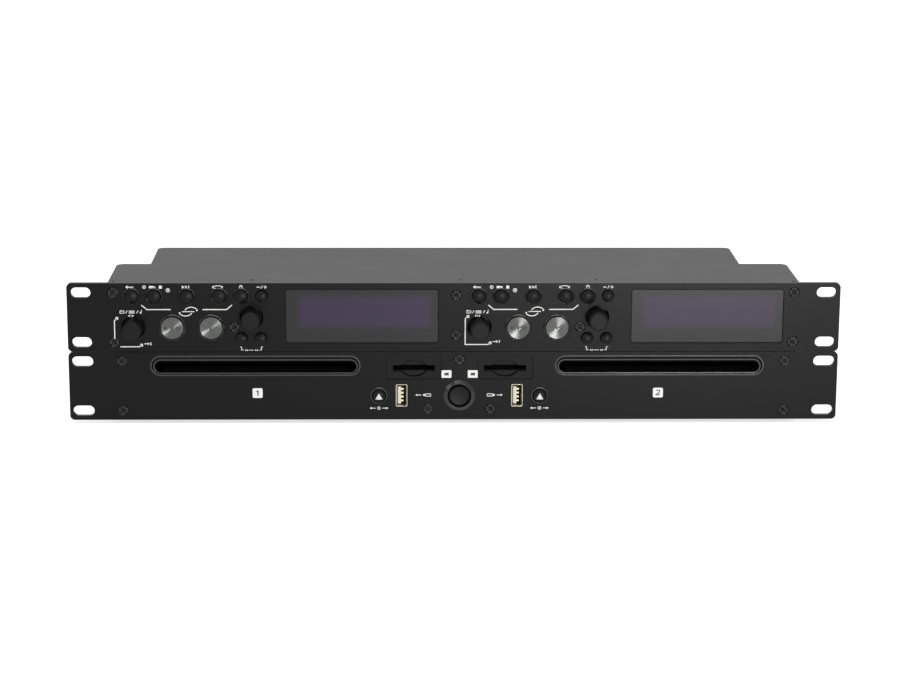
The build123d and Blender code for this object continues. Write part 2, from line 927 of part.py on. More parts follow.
chassis_top = drive_top - cover_sheet
ledge_length = drive_wall_back - panel_back - case_corner - 2 * case_sheet
with BuildPart() as drive_chassis:
    add(sheet_tray(drive_floor, chassis_top, drive_wall_back, drive_flange))
    with BuildSketch(Plane(origin=(0, panel_back, chassis_top - case_sheet))):
        for side in (-1, 1):
            with Locations((side * (case_width - drive_ledge) / 2, 0)):
                Rectangle(drive_ledge, ledge_length, align=(Align.CENTER, Align.MIN))
    extrude(amount=case_sheet)
    with BuildSketch(facing_front(0, drive_base, -panel_thickness)):
        with Locations(*drive_corner_screws):
            Circle(screw_hole_radius)
    extrude(amount=-case_sheet, mode=Mode.SUBTRACT)
    with BuildSketch(facing_back(0, skirt_screw_z(drive_top), drive_wall_back)):
        with Locations(*[(-x, 0) for x in drive_skirt_x]):
            Circle(relief_radius)
    extrude(amount=-case_sheet, mode=Mode.SUBTRACT)
    with BuildSketch(facing_back(0, drive_base, drive_wall_back)):
        with Locations(*[(-x, phono_z) for x in phono_x]):
            Circle(phono_body_radius + socket_fit)
        with Locations(*[(-x, link_z) for x in link_x]):
            Circle(link_radius + socket_fit)
        with Locations((-inlet_x, inlet_z)):
            Rectangle(inlet_body_width + 2 * socket_fit, inlet_body_height + 2 * socket_fit)
    extrude(amount=-case_sheet, mode=Mode.SUBTRACT)
    side_face = Plane(
        origin=(case_width / 2, panel_front + vent_set_back, drive_base + vent_z),
        x_dir=(0, 1, 0),
        z_dir=(1, 0, 0),
    )
    with BuildSketch(side_face):
        with GridLocations(vent_pitch, 0, vent_count, 1):
            SlotOverall(vent_height, vent_width, rotation=90)
    extrude(amount=-case_width, mode=Mode.SUBTRACT)
write(drive_chassis.part, "drive_chassis")

with BuildPart() as drive_top_cover:
    add(sheet_cover(drive_top, drive_wall_back, drive_skirt_x))
write(drive_top_cover.part, "drive_top_cover")

# ---- Drive unit: slot trims, card bezels and USB sockets ----


def slot_trim(x):
    """Bezel in the panel: a stepped funnel from a tall mouth down to the disc slot, and a throat behind."""
    mouth_width = slot_mouth_width - 2 * slot_mouth_edge
    mouth_height = slot_mouth_height - 2 * slot_mouth_edge
    share = slot_step_depth / slot_funnel_depth
    step_width = mouth_width + share * (slot_width - mouth_width)
    step_height = mouth_height + share * (slot_height - mouth_height)
    step_z = drive_base + slot_mouth_z + share * (slot_z - slot_mouth_z)
    mouth_z = drive_base + slot_mouth_z
    throat_z = drive_base + slot_z + (throat_wall - slot_mouth_edge) / 2
    with BuildPart() as trim:
        with BuildSketch(facing_front(x, mouth_z)):
            SlotOverall(slot_mouth_width, slot_mouth_height)
        extrude(amount=-panel_thickness)
        with BuildSketch(facing_front(x, throat_z, -panel_thickness)):
            SlotOverall(slot_width + 2 * throat_wall, throat_height)
        extrude(amount=panel_thickness - slot_depth)
        with BuildSketch(facing_front(x, mouth_z)):
            SlotOverall(mouth_width, mouth_height)
        with BuildSketch(facing_front(x, step_z, -slot_step_depth)):
            SlotOverall(step_width, step_height)
        loft(mode=Mode.SUBTRACT)
        with BuildSketch(facing_front(x, step_z, -slot_step_depth)):
            SlotOverall(step_width - 2 * slot_step, step_height - 2 * slot_step)
        with BuildSketch(facing_front(x, drive_base + slot_z, -slot_funnel_depth)):
            SlotOverall(slot_width, slot_height)
        loft(mode=Mode.SUBTRACT)
        with BuildSketch(facing_front(x, drive_base + slot_z, -slot_funnel_depth)):
            SlotOverall(slot_width, slot_height)
        extrude(amount=slot_funnel_depth - slot_depth, mode=Mode.SUBTRACT)
    return trim.part


write(gathered([slot_trim(x) for x in slot_x]), "slot_trims")


def card_bezel(x, z):
    """Plate set into the panel, with a card slot and a scoop for the thumb."""
    with BuildPart() as bezel:
        with BuildSketch(facing_front(x, z, -card_bezel_sink)):
            RectangleRounded(card_bezel_width, card_bezel_height, card_bezel_corner)
        extrude(amount=card_bezel_sink - panel_thickness)
        with BuildSketch(facing_front(x, drive_base + card_slot_z, -card_bezel_sink)):
            half_width = card_scoop_width / 2
            half_height = card_scoop_height / 2
            with BuildLine():
                ThreePointArc((-half_width, 0), (0, half_height), (half_width, 0))
                ThreePointArc((half_width, 0), (0, -half_height), (-half_width, 0))
            make_face()
        extrude(amount=-card_scoop_depth, taper=card_scoop_slope, mode=Mode.SUBTRACT)
        with BuildSketch(facing_front(x, drive_base + card_slot_z)):
            Rectangle(card_slot_width, card_slot_height)
        extrude(amount=-panel_thickness, mode=Mode.SUBTRACT)
    return bezel.part


write(gathered([card_bezel(x, drive_base + z) for x, z in cards]), "card_bezels")


def usb_bell(x, z, mouth, body, corner, length):
    """Straight rounded tube filled solid, flared at the panel's face."""
    with BuildPart() as bell:
        with BuildSketch(facing_front(x, z, -usb_flare)):
            RectangleRounded(*body, corner)
        extrude(amount=usb_flare - length)
        with BuildSketch(facing_front(x, z, -usb_flare)):
            RectangleRounded(*body, corner)
        with BuildSketch(facing_front(x, z)):
            RectangleRounded(*mouth, corner)
        loft()
    return bell.part


def usb_socket(x, z):
    """Upright socket: a flared metal shell around a tongue with four contacts."""
    mouth = (usb_mouth_width, usb_mouth_height)
    body = (usb_inner_width + 2 * usb_wall, usb_inner_height + 2 * usb_wall)
    inner_mouth = (usb_mouth_width - 2 * usb_wall, usb_mouth_height - 2 * usb_wall)
    inner = (usb_inner_width, usb_inner_height)
    outside = usb_bell(x, z, mouth, body, usb_corner, usb_length)
    inside = usb_bell(x, z, inner_mouth, inner, usb_corner - usb_wall / 2, usb_length - usb_wall)
    tongue_x = x - usb_inner_width / 2 + usb_tongue / 2 + usb_wall
    contact_x = tongue_x + (usb_tongue + usb_contact_thickness) / 2
    tongue_length = usb_length - usb_wall - usb_tongue_sink
    with BuildPart() as socket:
        add(outside)
        add(inside, mode=Mode.SUBTRACT)
        with BuildSketch(facing_front(tongue_x, z, usb_wall - usb_length)):
            Rectangle(usb_tongue, usb_tongue_height)
        extrude(amount=tongue_length)
        with BuildSketch(facing_front(contact_x, z, usb_wall - usb_length)):
            with GridLocations(0, usb_contact_pitch, 1, 4):
                Rectangle(usb_contact_thickness, usb_contact_width)
        extrude(amount=tongue_length - usb_flare)
    return socket.part


write(gathered([usb_socket(x, drive_base + z) for x, z in usbs]), "usb_sockets")

# ---- Drive unit: power and eject buttons ----

power_bore = power_radius + power_gap
power_ring_profile = (
    (power_bore, -panel_thickness),
    (power_sleeve_radius, -panel_thickness),
    (power_sleeve_radius, 0),
    (power_ring_radius, 0),
    (power_ring_radius, collar_chamfer),
    (power_sleeve_radius + collar_chamfer, power_ring_height),
    (power_sleeve_radius, power_ring_height),
    (power_bore, collar_chamfer),
)
lower_collars = [ring(front_axis(group_x, drive_base + power_z), power_ring_profile)]
lower_collars += [
    collar(x, drive_base + z, eject_radius + button_gap, eject_collar_radius, collar_height)
    for x, z in ejects
]
write(gathered(lower_collars), "lower_button_collars")

power_stem_back = board_front + power_switch_height + power_travel + rest_gap
power_lip = power_gap + sleeve_wall
power_button = push_button(
    group_x, drive_base + power_z, power_radius, power_height, -power_dish, power_stem_back, power_lip
)
write(power_button, "power_button")
for deck, (x, z) in enumerate(ejects, start=1):
    cap = push_button(x, drive_base + z, eject_radius, button_height, button_crown, stem_back)
    write(cap, f"eject_button_{deck}")

# ---- Drive unit: disc mechanisms ----

frame_deck = drive_base + frame_deck_z
frame_deck_top = frame_deck + frame_sheet
chassis_floor = drive_floor + case_sheet
guide_low = disc_floor + disc_gap
roller_z = disc_floor - roller_radius
roller_y = panel_front + roller_set_back
sled_low = frame_deck_top + sled_clearance
sled_front = turntable_y + motor_radius + sled_clearance
rod_height = drive_base + rod_z
rod_back = sled_front + sled_length + sled_travel + sled_clearance
spindle_top = disc_floor - turntable_boss - turntable_rim


def disc_frame(x):
    """Folded frame: two side walls, a deck between them, a guide plate above the disc, motor and rods."""
    front = panel_front + frame_front
    length = frame_rear - frame_front
    middle = front + length / 2
    wall_x = (frame_width - frame_sheet) / 2
    with BuildPart() as frame:
        with BuildSketch(Plane(origin=(x, middle, chassis_floor))):
            for side in (-1, 1):
                with Locations((side * (frame_width + frame_foot) / 2, 0)):
                    Rectangle(frame_foot, length)
        extrude(amount=frame_sheet)
        with BuildSketch(Plane(origin=(x, middle, chassis_floor))):
            with GridLocations(2 * wall_x, 0, 2, 1):
                Rectangle(frame_sheet, length)
        extrude(amount=guide_low + guide_sheet - chassis_floor)
        with BuildSketch(Plane(origin=(x, middle, frame_deck))):
            Rectangle(frame_width, length)
        extrude(amount=frame_sheet)
        with BuildSketch(Plane(origin=(x, middle, guide_low))):
            Rectangle(frame_width, length)
        extrude(amount=guide_sheet)
        wall_face = (x + wall_x + frame_sheet, roller_y, roller_z)
        with BuildSketch(Plane(origin=wall_face, x_dir=(0, 1, 0), z_dir=(1, 0, 0))):
            Circle(spindle_radius + running_fit)
        extrude(amount=-frame_width - frame_sheet, mode=Mode.SUBTRACT)
        with BuildSketch(Plane(origin=(x, turntable_y, frame_deck_top))):
            Circle(motor_radius)
        extrude(amount=motor_height)
        with BuildSketch(Plane(origin=(x, turntable_y, frame_deck_top + motor_height))):
            Circle(spindle_radius)
        extrude(amount=spindle_top - frame_deck_top - motor_height)
        with BuildSketch(Plane(origin=(x, sled_front - sled_clearance, frame_deck_top))):
            for side in (-1, 1):
                with Locations((side * rod_spread / 2, 0)):
                    Rectangle(bracket_size, bracket_size, align=(Align.CENTER, Align.MAX))
                with Locations((side * rod_spread / 2, rod_back - sled_front + sled_clearance)):
                    Rectangle(bracket_size, bracket_size, align=(Align.CENTER, Align.MIN))
        extrude(amount=rod_height + bracket_size / 2 - frame_deck_top)
        with BuildSketch(towards_back(x, sled_front - sled_clearance, rod_height)):
            with GridLocations(rod_spread, 0, 2, 1):
                Circle(rod_radius)
        extrude(amount=rod_back - sled_front + sled_clearance)
    return frame.part


write(gathered([disc_frame(x) for x in slot_x]), "disc_frames")

hub_back = frame_deck_top + motor_height + rest_gap
platform = disc_floor - turntable_boss
for deck, x in enumerate(slot_x, start=1):
    turntable_profile = (
        (hub_radius, hub_back),
        (hub_radius, platform - turntable_rim),
        (turntable_radius, platform - turntable_rim),
        (turntable_radius, platform),
        (turntable_boss_radius, platform),
        (turntable_boss_radius - turntable_boss / 2, disc_floor),
    )
    with BuildPart() as turntable:
        add(turned(up_axis(x, turntable_y, 0), turntable_profile))
        with BuildSketch(Plane(origin=(x, turntable_y, hub_back))):
            Circle(spindle_radius + running_fit)
        extrude(amount=spindle_top + rest_gap - hub_back, mode=Mode.SUBTRACT)
    write(turntable.part, f"turntable_{deck}")

    with BuildPart() as pickup_sled:
        with BuildSketch(Plane(origin=(x, sled_front, sled_low))):
            Rectangle(sled_width, sled_length, align=(Align.CENTER, Align.MIN))
        extrude(amount=sled_height)
        with BuildSketch(Plane(origin=(x, sled_front + sled_length / 2, sled_low + sled_height))):
            Circle(lens_radius)
        extrude(amount=lens_height)
        with BuildSketch(towards_back(x, sled_front, rod_height)):
            with GridLocations(rod_spread, 0, 2, 1):
                Circle(rod_radius + running_fit)
        extrude(amount=sled_length, mode=Mode.SUBTRACT)
    write(pickup_sled.part, f"pickup_sled_{deck}")

    roller_end = roller_length / 2
    shaft_end = frame_width / 2 + frame_sheet / 2
    roller_profile = (
        (spindle_radius, -shaft_end),
        (spindle_radius, -roller_end),
        (roller_radius, -roller_end),
        (roller_radius, roller_end),
        (spindle_radius, roller_end),
        (spindle_radius, shaft_end),
    )
    write(turned(side_axis(x, roller_y, roller_z), roller_profile), f"loading_roller_{deck}")

# ---- Drive unit: boards and power supply ----

group_board_middle = drive_base + group_board_z + group_board_height / 2
reader_middle = drive_base + card_slot_z
reader_front = panel_back + rest_gap


def standing_board(x, set_back, size):
    """Board on four hollow standoffs from the chassis floor."""
    width, length = size
    top = chassis_floor + standoff_height
    with BuildPart() as board:
        with BuildSketch(Plane(origin=(x, panel_front + set_back, top))):
            Rectangle(width, length)
        extrude(amount=board_thickness)
        with BuildSketch(Plane(origin=(x, panel_front + set_back, chassis_floor))):
            with GridLocations(width - 2 * standoff_inset, length - 2 * standoff_inset, 2, 2):
                Circle(standoff_radius)
        extrude(amount=standoff_height)
    return board.part


board_top = chassis_floor + standoff_height + board_thickness


def populated(board, x, set_back, blocks):
    """Board with plain component blocks, given by place from its middle and size."""
    with BuildPart() as assembly:
        add(board)
        for (dx, dy), (width, length, height) in blocks.items():
            with BuildSketch(Plane(origin=(x + dx, panel_front + set_back + dy, board_top))):
                Rectangle(width, length)
            extrude(amount=height)
    return assembly.part


def card_reader(x):
    """Flat card socket behind a bezel, open at its front."""
    with BuildPart() as reader:
        with BuildSketch(towards_back(x, reader_front, reader_middle)):
            Rectangle(reader_width, reader_height)
        extrude(amount=reader_length)
        with BuildSketch(towards_back(x, reader_front, reader_middle)):
            Rectangle(reader_width - 2 * reader_wall, reader_height - 2 * reader_wall)
        extrude(amount=reader_length - reader_wall, mode=Mode.SUBTRACT)
    return reader.part


with BuildPart() as group_board:
    with BuildSketch(facing_front(group_x, group_board_middle, board_front)):
        Rectangle(group_board_width, group_board_height)
    extrude(amount=-board_thickness)
    with BuildSketch(facing_front(0, drive_base, board_front)):
        with Locations(*ejects):
            Rectangle(switch_size, switch_size)
    extrude(amount=switch_height)
    with BuildSketch(facing_front(0, drive_base, board_front + switch_height)):
        with Locations(*ejects):
            Circle(plunger_radius)
    extrude(amount=plunger_height)
    with BuildSketch(facing_front(group_x, drive_base + power_z, board_front)):
        Rectangle(power_switch_size, power_switch_size)
    extrude(amount=power_switch_height)

main_board = populated(
    standing_board(main_board_x, main_board_set_back, main_board_size),
    main_board_x,
    main_board_set_back,
    main_chips,
)
write(
    gathered([group_board.part, main_board] + [card_reader(x) for x, z in cards]), "drive_circuit_boards"
)

power_supply = populated(
    standing_board(supply_board_x, supply_board_set_back, supply_board_size),
    supply_board_x,
    supply_board_set_back,
    supply_blocks,
)
write(power_supply, "power_supply")

# ---- Drive unit: sockets on the back, screws and feet ----

phono_profile = (
    (phono_body_radius, -phono_body),
    (phono_body_radius, 0),
    (phono_flange_radius, 0),
    (phono_flange_radius, phono_flange),
    (phono_radius, phono_flange),
    (phono_radius, phono_reach + cover_sheet + cover_fit),
    (phono_hole_radius, phono_reach + cover_sheet + cover_fit),
    (phono_hole_radius, 0),
)
rear_sockets = [turned(back_axis(x, drive_base + phono_z, drive_wall_back), phono_profile) for x in phono_x]
rear_sockets += [link_socket(x, drive_base + link_z, drive_wall_back) for x in link_x]
write(gathered(rear_sockets), "rear_sockets")

inlet_height = drive_base + inlet_z
with BuildPart() as power_inlet:
    with BuildSketch(facing_back(inlet_x, inlet_height, drive_wall_back)):
        RectangleRounded(inlet_flange_width, inlet_flange_height, inlet_corner)
    extrude(amount=inlet_flange)
    with BuildSketch(facing_back(inlet_x, inlet_height, drive_wall_back)):
        Rectangle(inlet_body_width, inlet_body_height)
    extrude(amount=-inlet_body)
    with BuildSketch(facing_back(inlet_x, inlet_height, drive_wall_back + inlet_flange)):
        inlet_face = Rectangle(inlet_cavity_width, inlet_cavity_height)
        chamfer(inlet_face.vertices().group_by(Axis.Y)[-1], inlet_corner)
    extrude(amount=-inlet_cavity, mode=Mode.SUBTRACT)
    pin_back = drive_wall_back + inlet_flange - inlet_cavity
    with BuildSketch(facing_back(inlet_x, inlet_height, pin_back)):
        with Locations((-inlet_pin_pitch / 2, -inlet_pin_drop), (inlet_pin_pitch / 2, -inlet_pin_drop)):
            Rectangle(inlet_pin_width, inlet_pin_height)
        with Locations((0, inlet_pin_drop)):
            Rectangle(inlet_pin_width, inlet_pin_height)
    extrude(amount=inlet_pin_length)
write(power_inlet.part, "power_inlet")

drive_screws = panel_screws(drive_base, drive_corner_screws + group_screws)
drive_screws += skirt_screws(drive_top, drive_wall_back, drive_skirt_x)
write(gathered(drive_screws), "drive_screws")

foot_y = (panel_front + foot_set_back, drive_wall_back - foot_set_back)
drive_feet = [
    turned(
        up_axis(side * foot_spread_x / 2, y, 0),
        ((foot_radius - collar_chamfer, 0), (foot_radius, collar_chamfer), (foot_radius, foot_height)),
    )
    for side in (-1, 1)
    for y in foot_y
]
write(gathered(drive_feet), "drive_feet")
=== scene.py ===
from math import cos, pi, radians, sin

import bmesh
import bpy
from mathutils import Matrix, Vector
from mathutils.bvhtree import BVHTree


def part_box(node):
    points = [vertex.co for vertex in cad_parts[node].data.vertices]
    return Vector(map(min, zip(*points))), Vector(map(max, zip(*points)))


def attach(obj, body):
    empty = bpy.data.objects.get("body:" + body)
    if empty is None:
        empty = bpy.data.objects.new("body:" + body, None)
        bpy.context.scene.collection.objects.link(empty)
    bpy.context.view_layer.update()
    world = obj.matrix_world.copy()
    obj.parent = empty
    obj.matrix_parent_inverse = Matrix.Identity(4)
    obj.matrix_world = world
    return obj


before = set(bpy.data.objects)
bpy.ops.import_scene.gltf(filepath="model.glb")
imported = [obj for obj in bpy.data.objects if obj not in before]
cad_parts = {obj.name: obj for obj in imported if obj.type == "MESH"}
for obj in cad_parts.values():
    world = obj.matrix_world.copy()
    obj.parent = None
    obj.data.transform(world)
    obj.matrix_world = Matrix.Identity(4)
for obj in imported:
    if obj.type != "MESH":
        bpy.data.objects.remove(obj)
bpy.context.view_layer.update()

bl_info = {
    "name": "Two-deck disc player",
    "version": (1, 0, 0),
    "blender": (4, 5, 0),
    "location": "View3D > Sidebar > Player",
    "description": "Finishes, printed marks, contacts and studio of a rack player with two decks",
    "category": "Object",
}

MM = 0.001
DECKS = (1, 2)
SIDES = (-1, 1)
CORNER_STEPS = 6  # runs in a rounded corner
SUNK = 0.01  # millimetres that a printed mark sinks into the panel
WHITE = (1.0, 1.0, 1.0, 1.0)


def linear(code):
    """An sRGB hex colour as linear values."""
    channels = [int(code[i : i + 2], 16) / 255 for i in (0, 2, 4)]
    return tuple(c / 12.92 if c <= 0.04045 else ((c + 0.055) / 1.055) ** 2.4 for c in channels)


def middle(node):
    """The middle of a CAD node at rest, in millimetres."""
    low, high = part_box(node)
    return (low + high) / 2 / MM


# Where the panels and the back wall stand, in millimetres
PANEL_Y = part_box("control_front_panel")[0].y / MM
CONTROL_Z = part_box("control_front_panel")[0].z / MM
DRIVE_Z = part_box("drive_front_panel")[0].z / MM
WALL_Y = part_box("drive_top_cover")[1].y / MM
DECK_X = [middle(f"select_knob_{deck}").x for deck in DECKS]
GROUP_X = middle("power_button").x


# ---- Sizes and colours that a user may change ----


class PlayerMarks(bpy.types.PropertyGroup):
    """Sizes of the printed marks."""

    line_width: bpy.props.FloatProperty(
        name="Line width", description="Width of the guide lines in millimetres", default=0.62,
        min=0.2, max=2,
    )
    icon_line: bpy.props.FloatProperty(
        name="Icon line", description="Width of the icons' strokes in millimetres", default=0.42,
        min=0.1, max=1,
    )
    dot_radius: bpy.props.FloatProperty(
        name="Dot radius", description="Radius of the dots on the guide lines in millimetres",
        default=0.95, min=0.3,
    )
    film: bpy.props.FloatProperty(
        name="Ink film", description="How far the ink stands off the surface in millimetres",
        default=0.03, min=0.01,
    )


class PlayerColours(bpy.types.PropertyGroup):
    """Main colours of the finishes."""

    panel: bpy.props.FloatVectorProperty(
        name="Front panels", description="Anodised front panels", subtype="COLOR", size=3,
        default=linear("060606"),
    )
    case: bpy.props.FloatVectorProperty(
        name="Cases", description="Powder coated cases and covers", subtype="COLOR", size=3,
        default=linear("1A1B1B"),
    )
    window: bpy.props.FloatVectorProperty(
        name="Windows", description="Tint of the display windows", subtype="COLOR", size=3,
        default=linear("22162E"),
    )
    button: bpy.props.FloatVectorProperty(
        name="Buttons", description="Moulded push buttons", subtype="COLOR", size=3,
        default=linear("080809"),
    )
    ink: bpy.props.FloatVectorProperty(
        name="Ink", description="Printed marks", subtype="COLOR", size=3, default=linear("E0E1DF"),
    )


class PlayerStudio(bpy.types.PropertyGroup):
    """Lamps and backdrop."""

    top_power: bpy.props.FloatProperty(
        name="Top softbox", description="Power of the softbox overhead", default=16, min=0,
        unit="POWER",
    )
    low_power: bpy.props.FloatProperty(
        name="Front softbox", description="Power of the low softbox in front", default=12, min=0,
        unit="POWER",
    )
    side_power: bpy.props.FloatProperty(
        name="Side softbox", description="Power of the softbox on the left", default=3, min=0,
        unit="POWER",
    )
    fill: bpy.props.FloatProperty(
        name="Room light", description="Strength of the room's light", default=0.45, min=0
    )


# ---- Node and material helpers ----


def add_node(tree, kind, inputs=None, **settings):
    """Adds a node, sets its properties, and fills or links its inputs by name or number."""
    node = tree.nodes.new(kind)
    for name, value in settings.items():
        setattr(node, name, value)
    for key, value in (inputs or {}).items():
        if isinstance(value, bpy.types.NodeSocket):
            tree.links.new(value, node.inputs[key])
        else:
            node.inputs[key].default_value = value
    return node


def opaque(colour):
    return (*colour, 1.0)


def new_surface(name):
    """An empty material, its tree and its object coordinates."""
    material = bpy.data.materials.new(name)
    material.use_nodes = True
    material.node_tree.nodes.clear()
    place = add_node(material.node_tree, "ShaderNodeTexCoord").outputs["Object"]
    return material, material.node_tree, place


def finish(name, low, high, cloud, grain, depth, roughness, spread=0.05, edge=0.0, **shader):
    """A material whose colour drifts between two tones over `cloud` millimetres, with a grain of
    `grain` millimetres that stands `depth` millimetres proud, a roughness that drifts by `spread`
    to each side, and edges rounded by `edge` millimetres."""
    material, tree, place = new_surface(name)
    drift = add_node(
        tree, "ShaderNodeTexNoise", {"Vector": place, "Scale": 1000 / cloud, "Detail": 3.0}
    )
    fine = add_node(
        tree, "ShaderNodeTexNoise", {"Vector": place, "Scale": 1000 / grain, "Detail": 2.0}
    )
    colour = add_node(
        tree, "ShaderNodeMix", {0: drift.outputs["Fac"], 6: opaque(low), 7: opaque(high)},
        data_type="RGBA",
    )
    gloss = add_node(
        tree, "ShaderNodeMapRange",
        {
            "Value": drift.outputs["Fac"], "From Min": 0.3, "From Max": 0.7,
            "To Min": roughness - spread, "To Max": roughness + spread,
        },
    )
    relief = {"Height": fine.outputs["Fac"], "Strength": 1.0, "Distance": depth * MM}
    if edge:
        rounded = add_node(tree, "ShaderNodeBevel", {"Radius": edge * MM}, samples=4)
        relief["Normal"] = rounded.outputs["Normal"]
    bump = add_node(tree, "ShaderNodeBump", relief)
    sockets = {
        "Base Color": colour.outputs[2],
        "Roughness": gloss.outputs["Result"],
        "Normal": bump.outputs["Normal"],
    }
    sockets.update({key.replace("_", " "): value for key, value in shader.items()})
    shading = add_node(tree, "ShaderNodeBsdfPrincipled", sockets)
    add_node(tree, "ShaderNodeOutputMaterial", {"Surface": shading.outputs["BSDF"]})
    return material


def dress(material, *nodes):
    """Gives CAD nodes a material."""
    for name in nodes:
        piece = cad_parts[name]
        for slot in piece.material_slots:
            slot.material = material
        if not piece.material_slots:
            piece.data.materials.append(material)


def per_deck(*names):
    return [f"{name}_{deck}" for name in names for deck in DECKS]


# ---- Outlines, lists of (x, z) points in millimetres ----


def stroke(points, width):
    """Outline of a line of even width through points, with mitred corners."""
    shortest = 0.35  # stops the mitre of a sharp corner from running away
    left, right = [], []
    for i, (x, z) in enumerate(points):
        before = points[max(i - 1, 0)]
        after = points[min(i + 1, len(points) - 1)]
        a = Vector((x - before[0], z - before[1])) if i else Vector((after[0] - x, after[1] - z))
        b = Vector((after[0] - x, after[1] - z)) if i < len(points) - 1 else a
        a, b = a.normalized(), b.normalized()
        across = Vector((-a.y - b.y, a.x + b.x)).normalized()
        reach = width / 2 / max(across.dot(Vector((-a.y, a.x))), shortest)
        left.append((x + across.x * reach, z + across.y * reach))
        right.append((x - across.x * reach, z - across.y * reach))
    return left + right[::-1]


def arc(cx, cz, rx, rz, start, end, steps=20):
    """Points along an arc, its angles in degrees from +X towards +Z."""
    turns = [radians(start + (end - start) * i / steps) for i in range(steps + 1)]
    return [(cx + rx * cos(t), cz + rz * sin(t)) for t in turns]


def disc(cx, cz, radius):
    """A circle of 24 points, 15 degrees apart."""
    return arc(cx, cz, radius, radius, 0, 345, 23)


def hoop(cx, cz, rx, rz, width):
    """Two half rings that close into one."""
    return [stroke(arc(cx, cz, rx, rz, start, start + 180), width) for start in (0, 180)]


def arrow_head(x, z, size, side):
    return [(x, z + size), (x + side * size * 1.5, z), (x, z - size)]


def block(cx, cz, width, height, corner=0.0):
    """Outline of a rectangle, its corners rounded where they have a radius."""
    if not corner:
        signs = ((-1, -1), (1, -1), (1, 1), (-1, 1))
        return [(cx + sx * width / 2, cz + sz * height / 2) for sx, sz in signs]
    outline = []
    for sx, sz, start in ((1, 1, 0), (-1, 1, 90), (-1, -1, 180), (1, -1, 270)):
        x, z = cx + sx * (width / 2 - corner), cz + sz * (height / 2 - corner)
        outline += arc(x, z, corner, corner, start, start + 90, CORNER_STEPS)
    return outline


def frame_outline(cx, cz, width, height, line):
    """Four bars that make a rectangular frame."""
    return [
        block(cx, cz + height / 2, width + line, line),
        block(cx, cz - height / 2, width + line, line),
        block(cx - width / 2, cz, line, height),
        block(cx + width / 2, cz, line, height),
    ]


def rounded_frame(cx, cz, width, height, line, corner):
    """Upper and lower half of a frame with rounded corners."""
    halves = []
    for side in (1, -1):
        start = 0 if side == 1 else 180
        across, up = side * (width / 2 - corner), side * (height / 2 - corner)
        path = [(cx + side * width / 2, cz)]
        for turn, x in ((start, cx + across), (start + 90, cx - across)):
            path += arc(x, cz + up, corner, corner, turn, turn + 90, CORNER_STEPS)
        halves.append(stroke(path + [(cx - side * width / 2, cz)], line))
    return halves


# ---- Meshes and pieces ----


def new_object(name, data):
    """An object in the scene for a mesh, lamp or camera."""
    thing = bpy.data.objects.new(name, data)
    bpy.context.scene.collection.objects.link(thing)
    return thing


def add_piece(name, mesh, body):
    """Makes a mesh a piece that rides on a body and takes its finish from a slot."""
    piece = new_object(name, mesh)
    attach(piece, body)


def piece_from(bm, name, material, body):
    """Turns a mesh in millimetres into a piece."""
    bmesh.ops.remove_doubles(bm, verts=bm.verts, dist=0.0005)
    bmesh.ops.recalc_face_normals(bm, faces=bm.faces)
    bmesh.ops.scale(bm, vec=(MM, MM, MM), verts=bm.verts)
    mesh = bpy.data.meshes.new(name)
    bm.to_mesh(mesh)
    bm.free()
    mesh.materials.append(material)
    add_piece(name, mesh, body)


def panel_screws(node):
    """Middles, in x and z, of the screws whose heads show in a front panel."""
    head_reach = 2  # millimetres behind the panel's face that a head's rim may lie
    bm = bmesh.new()
    bm.from_mesh(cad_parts[node].data)
    left, places = set(bm.verts), []
    while left:
        reached, edge = set(), [left.pop()]
        while edge:
            vert = edge.pop()
            reached.add(vert)
            for link in vert.link_edges:
                other = link.other_vert(vert)
                if other in left:
                    left.remove(other)
                    edge.append(other)
        if min(vert.co.y for vert in reached) / MM < PANEL_Y + head_reach:
            spans = [[vert.co[axis] / MM for vert in reached] for axis in (0, 2)]
            places.append([(min(span) + max(span)) / 2 for span in spans])
    bm.free()
    return places


def plate(bm, outline, front, back):
    """A flat closed plate with an outline of (x, z) points, between two depths."""
    near = [bm.verts.new((x, front, z)) for x, z in outline]
    far = [bm.verts.new((x, back, z)) for x, z in outline]
    bm.faces.new(near)
    bm.faces.new(far[::-1])
    for i, corner in enumerate(near):
        j = (i + 1) % len(near)
        bm.faces.new((corner, far[i], far[j], near[j]))


def printed(name, outlines, material, body, layer=1):
    """Flat marks on a front panel, `layer` ink films thick."""
    film = bpy.context.scene.player_marks.film
    bm = bmesh.new()
    for outline in outlines:
        plate(bm, outline, PANEL_Y - film * layer, PANEL_Y + SUNK)
    piece_from(bm, name, material, body)


def laid_on(name, outlines, material, node):
    """Ink marks that follow the curved front of a CAD node and ride with it."""
    film = bpy.context.scene.player_marks.film
    in_front = PANEL_Y - 40
    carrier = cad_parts[node].data
    tree = BVHTree.FromPolygons(
        [v.co / MM for v in carrier.vertices], [p.vertices for p in carrier.polygons]
    )
    bm = bmesh.new()
    for outline in outlines:
        face = bm.faces.new([bm.verts.new((x, 0, z)) for x, z in outline])
        bmesh.ops.triangulate(bm, faces=[face])
    bmesh.ops.subdivide_edges(bm, edges=bm.edges, cuts=3, use_grid_fill=True)
    for vert in bm.verts:
        hit = tree.ray_cast(Vector((vert.co.x, in_front, vert.co.z)), Vector((0, 1, 0)))[0]
        vert.co.y = hit.y - film
    sheet = bmesh.ops.extrude_face_region(bm, geom=bm.faces)
    for vert in [v for v in sheet["geom"] if isinstance(v, bmesh.types.BMVert)]:
        vert.co.y += film * 2
    piece_from(bm, name, material, node)


# ---- Geometry nodes for the parts that repeat ----


